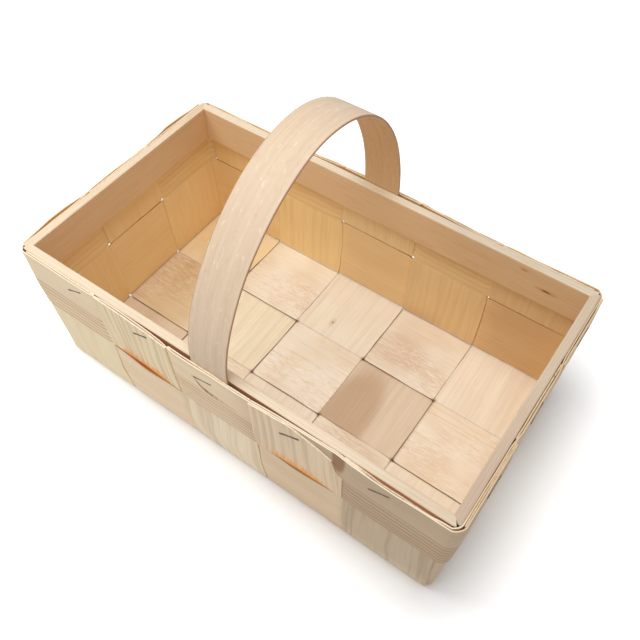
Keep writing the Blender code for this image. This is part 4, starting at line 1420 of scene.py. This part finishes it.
class BASKET_OT_handle(bpy.types.Operator):
    """Make the bent handle"""
    bl_idname = "basket.handle"
    bl_label = "Handle"

    def execute(self, context):
        colors = context.scene.basket_colors
        pale = tuple(colors.handle)
        finish = handle_finish("handle_strip_wood",
                               (pale, mixed(pale, (0.90, 0.86, 0.82)), tuple(colors.line)))
        dress(make_handle(), "handle", finish)
        return {"FINISHED"}


class BASKET_OT_staples(bpy.types.Operator):
    """Make the sixteen wire staples"""
    bl_idname = "basket.staples"
    bl_label = "Staples"

    def execute(self, context):
        finish = wire_finish("staple_wire", tuple(context.scene.basket_colors.wire))
        for wall in range(4):
            for order, (number, low, high) in enumerate(wall_stakes(wall)):
                piece, node = make_staple(wall, order, number, low, high)
                dress(piece, node, finish)
        return {"FINISHED"}


class BASKET_OT_stage(bpy.types.Operator):
    """Make the floor, the light and the camera"""
    bl_idname = "basket.stage"
    bl_label = "Stage"

    def execute(self, context):
        scene, light = context.scene, context.scene.basket_light
        scene.view_settings.view_transform = "Standard"
        make_floor(tuple(scene.basket_colors.floor), light.lift)
        make_sky(light.sky)
        make_lamp("ceiling", light.ceiling, 0.60, (0.06, -0.20, 1.26))
        make_lamp("window", light.window, 0.32, (-0.44, -0.22, 0.70))
        make_camera(scene)
        return {"FINISHED"}


def make_lamp(name, power, size, place):
    """A square soft lamp that looks at the middle of the basket."""
    lamp = bpy.data.lights.new(name, "AREA")
    lamp.shape, lamp.size, lamp.energy = "SQUARE", size, power
    holder = bpy.data.objects.new(name, lamp)
    holder.location = place
    holder.rotation_mode = "QUATERNION"
    holder.rotation_quaternion = (Vector((0, 0, 0.05)) - Vector(place)).to_track_quat("-Z", "Y")
    bpy.context.scene.collection.objects.link(holder)


def make_floor(color, lift):
    """A wide pale sheet just under the basket, which also glows a little for the camera.

    The glow takes the lit paper to white. It fades near the basket's foot, over a wider band on
    the right, so the sheet is painted darker there and the basket's shadow stays on it. Near the
    foot the paper is also painted darker and warmer, most on the right: a painted contact shadow
    with warm light bounced off the wood.
    """
    side = np.linspace(-4.0, 4.0, 17)
    x, y = np.meshgrid(side, side, indexing="ij")
    points = np.stack((x, y, np.full(x.shape, -0.00002)), -1)
    number = np.arange(x.size).reshape(x.shape)
    mesh = bpy.data.meshes.new("floor")
    mesh.from_pydata(points.reshape(-1, 3).tolist(), [], patches(number)[:, ::-1].tolist())
    floor = bpy.data.objects.new("floor", mesh)
    bpy.context.scene.collection.objects.link(floor)
    r = Recipe("floor_paper")
    seen = r.value("ShaderNodeLightPath")
    place = r.node("ShaderNodeSeparateXYZ", None,
                   {0: r.node("ShaderNodeTexCoord").outputs["Object"]})
    x_place, y_place = (Reading(r, place.outputs[i]) for i in range(2))
    past_x = (x_place.size() - 0.165).held(0.0, 9.0)
    past_y = (y_place.size() - 0.090).held(0.0, 9.0)
    past = (past_x ** 2.0 + past_y ** 2.0) ** 0.5
    away = (past / (0.050 + 0.16 * x_place.held(-0.16, 0.16))).eased(0.0, 1.0)
    # Painted contact shadow: the paper near the foot is darker and warmer, most on the right, for
    # the shade there and the light bounced off the wood
    foot = (1 - past.eased(0.0, 0.018)) * (0.25 + 0.75 * x_place.eased(0.02, 0.16))
    paper = r.node("ShaderNodeBsdfDiffuse", None,
                   {"Color": r.tint(foot, color, mixed(color, (0.76, 0.67, 0.56)))})
    glow = r.node("ShaderNodeEmission", None, {"Color": (1, 1, 1, 1),
                                               "Strength": seen * (0.06 + 0.94 * away) * lift})
    both = r.node("ShaderNodeAddShader", None, {0: paper.outputs[0], 1: glow.outputs[0]})
    r.node("ShaderNodeOutputMaterial", None, {0: both.outputs[0]})
    mesh.materials.append(r.finish)


def make_sky(strength):
    """Even light from all round, white where the camera or a reflection looks at it."""
    r = Recipe("sky", "worlds")
    path = r.node("ShaderNodeLightPath")
    camera, glossy, through = (Reading(r, path.outputs[name]) for name in
                               ("Is Camera Ray", "Is Glossy Ray", "Is Transmission Ray"))
    looked_at = (camera + glossy + through).held()
    even = r.node("ShaderNodeBackground", None, {0: (1, 1, 1, 1), 1: strength})
    white = r.node("ShaderNodeBackground", None, {0: (1, 1, 1, 1), 1: 1.0})
    both = r.node("ShaderNodeMixShader", None, {0: looked_at, 1: even.outputs[0],
                                                2: white.outputs[0]})
    r.node("ShaderNodeOutputWorld", None, {0: both.outputs[0]})
    bpy.context.scene.world = r.finish


def make_camera(scene):
    """The camera of the photograph: above and to the right of the front wall."""
    data = bpy.data.cameras.new("camera")
    data.sensor_width = 36.0
    data.lens = 40.243
    camera = bpy.data.objects.new("camera", data)
    right, down, ahead = (Vector(row).normalized() for row in (
        (0.814444, 0.580202, -0.006884), (0.468612, -0.664706, -0.581867),
        (-0.342176, 0.470672, -0.813255)))
    turn = Matrix((right, -down, -ahead)).transposed().to_4x4()
    turn.translation = Vector((0.196621, -0.251585, 0.513271))
    camera.matrix_world = turn
    scene.collection.objects.link(camera)
    scene.camera = camera


class BASKET_PT_panel(bpy.types.Panel):
    """Lists the pieces and their sizes and colours"""
    bl_label = "Berry basket"
    bl_idname = "BASKET_PT_panel"
    bl_space_type = "VIEW_3D"
    bl_region_type = "UI"
    bl_category = "Basket"

    def draw(self, context):
        layout = self.layout
        for group in (context.scene.basket_sizes, context.scene.basket_colors,
                      context.scene.basket_light):
            box = layout.box()
            for key in group.__annotations__:
                box.prop(group, key)
        for operator in operators:
            layout.operator(operator.bl_idname)


operators = (BASKET_OT_splints, BASKET_OT_hoops, BASKET_OT_rim, BASKET_OT_handle,
             BASKET_OT_staples, BASKET_OT_stage)
groups = (("basket_sizes", BasketSizes), ("basket_colors", WoodColors),
          ("basket_light", StageLight))


def register():
    for _, group in groups:
        bpy.utils.register_class(group)
    for name, group in groups:
        setattr(bpy.types.Scene, name, PointerProperty(type=group))
    for shown in (*operators, BASKET_PT_panel):
        bpy.utils.register_class(shown)


def unregister():
    for shown in (BASKET_PT_panel, *operators[::-1]):
        bpy.utils.unregister_class(shown)
    for name, group in groups[::-1]:
        delattr(bpy.types.Scene, name)
        bpy.utils.unregister_class(group)


def main():
    """Make every piece in order."""
    register()
    for make in (bpy.ops.basket.splints, bpy.ops.basket.hoops, bpy.ops.basket.rim,
                 bpy.ops.basket.handle, bpy.ops.basket.staples, bpy.ops.basket.stage):
        make()


if __name__ == "__main__":
    main()
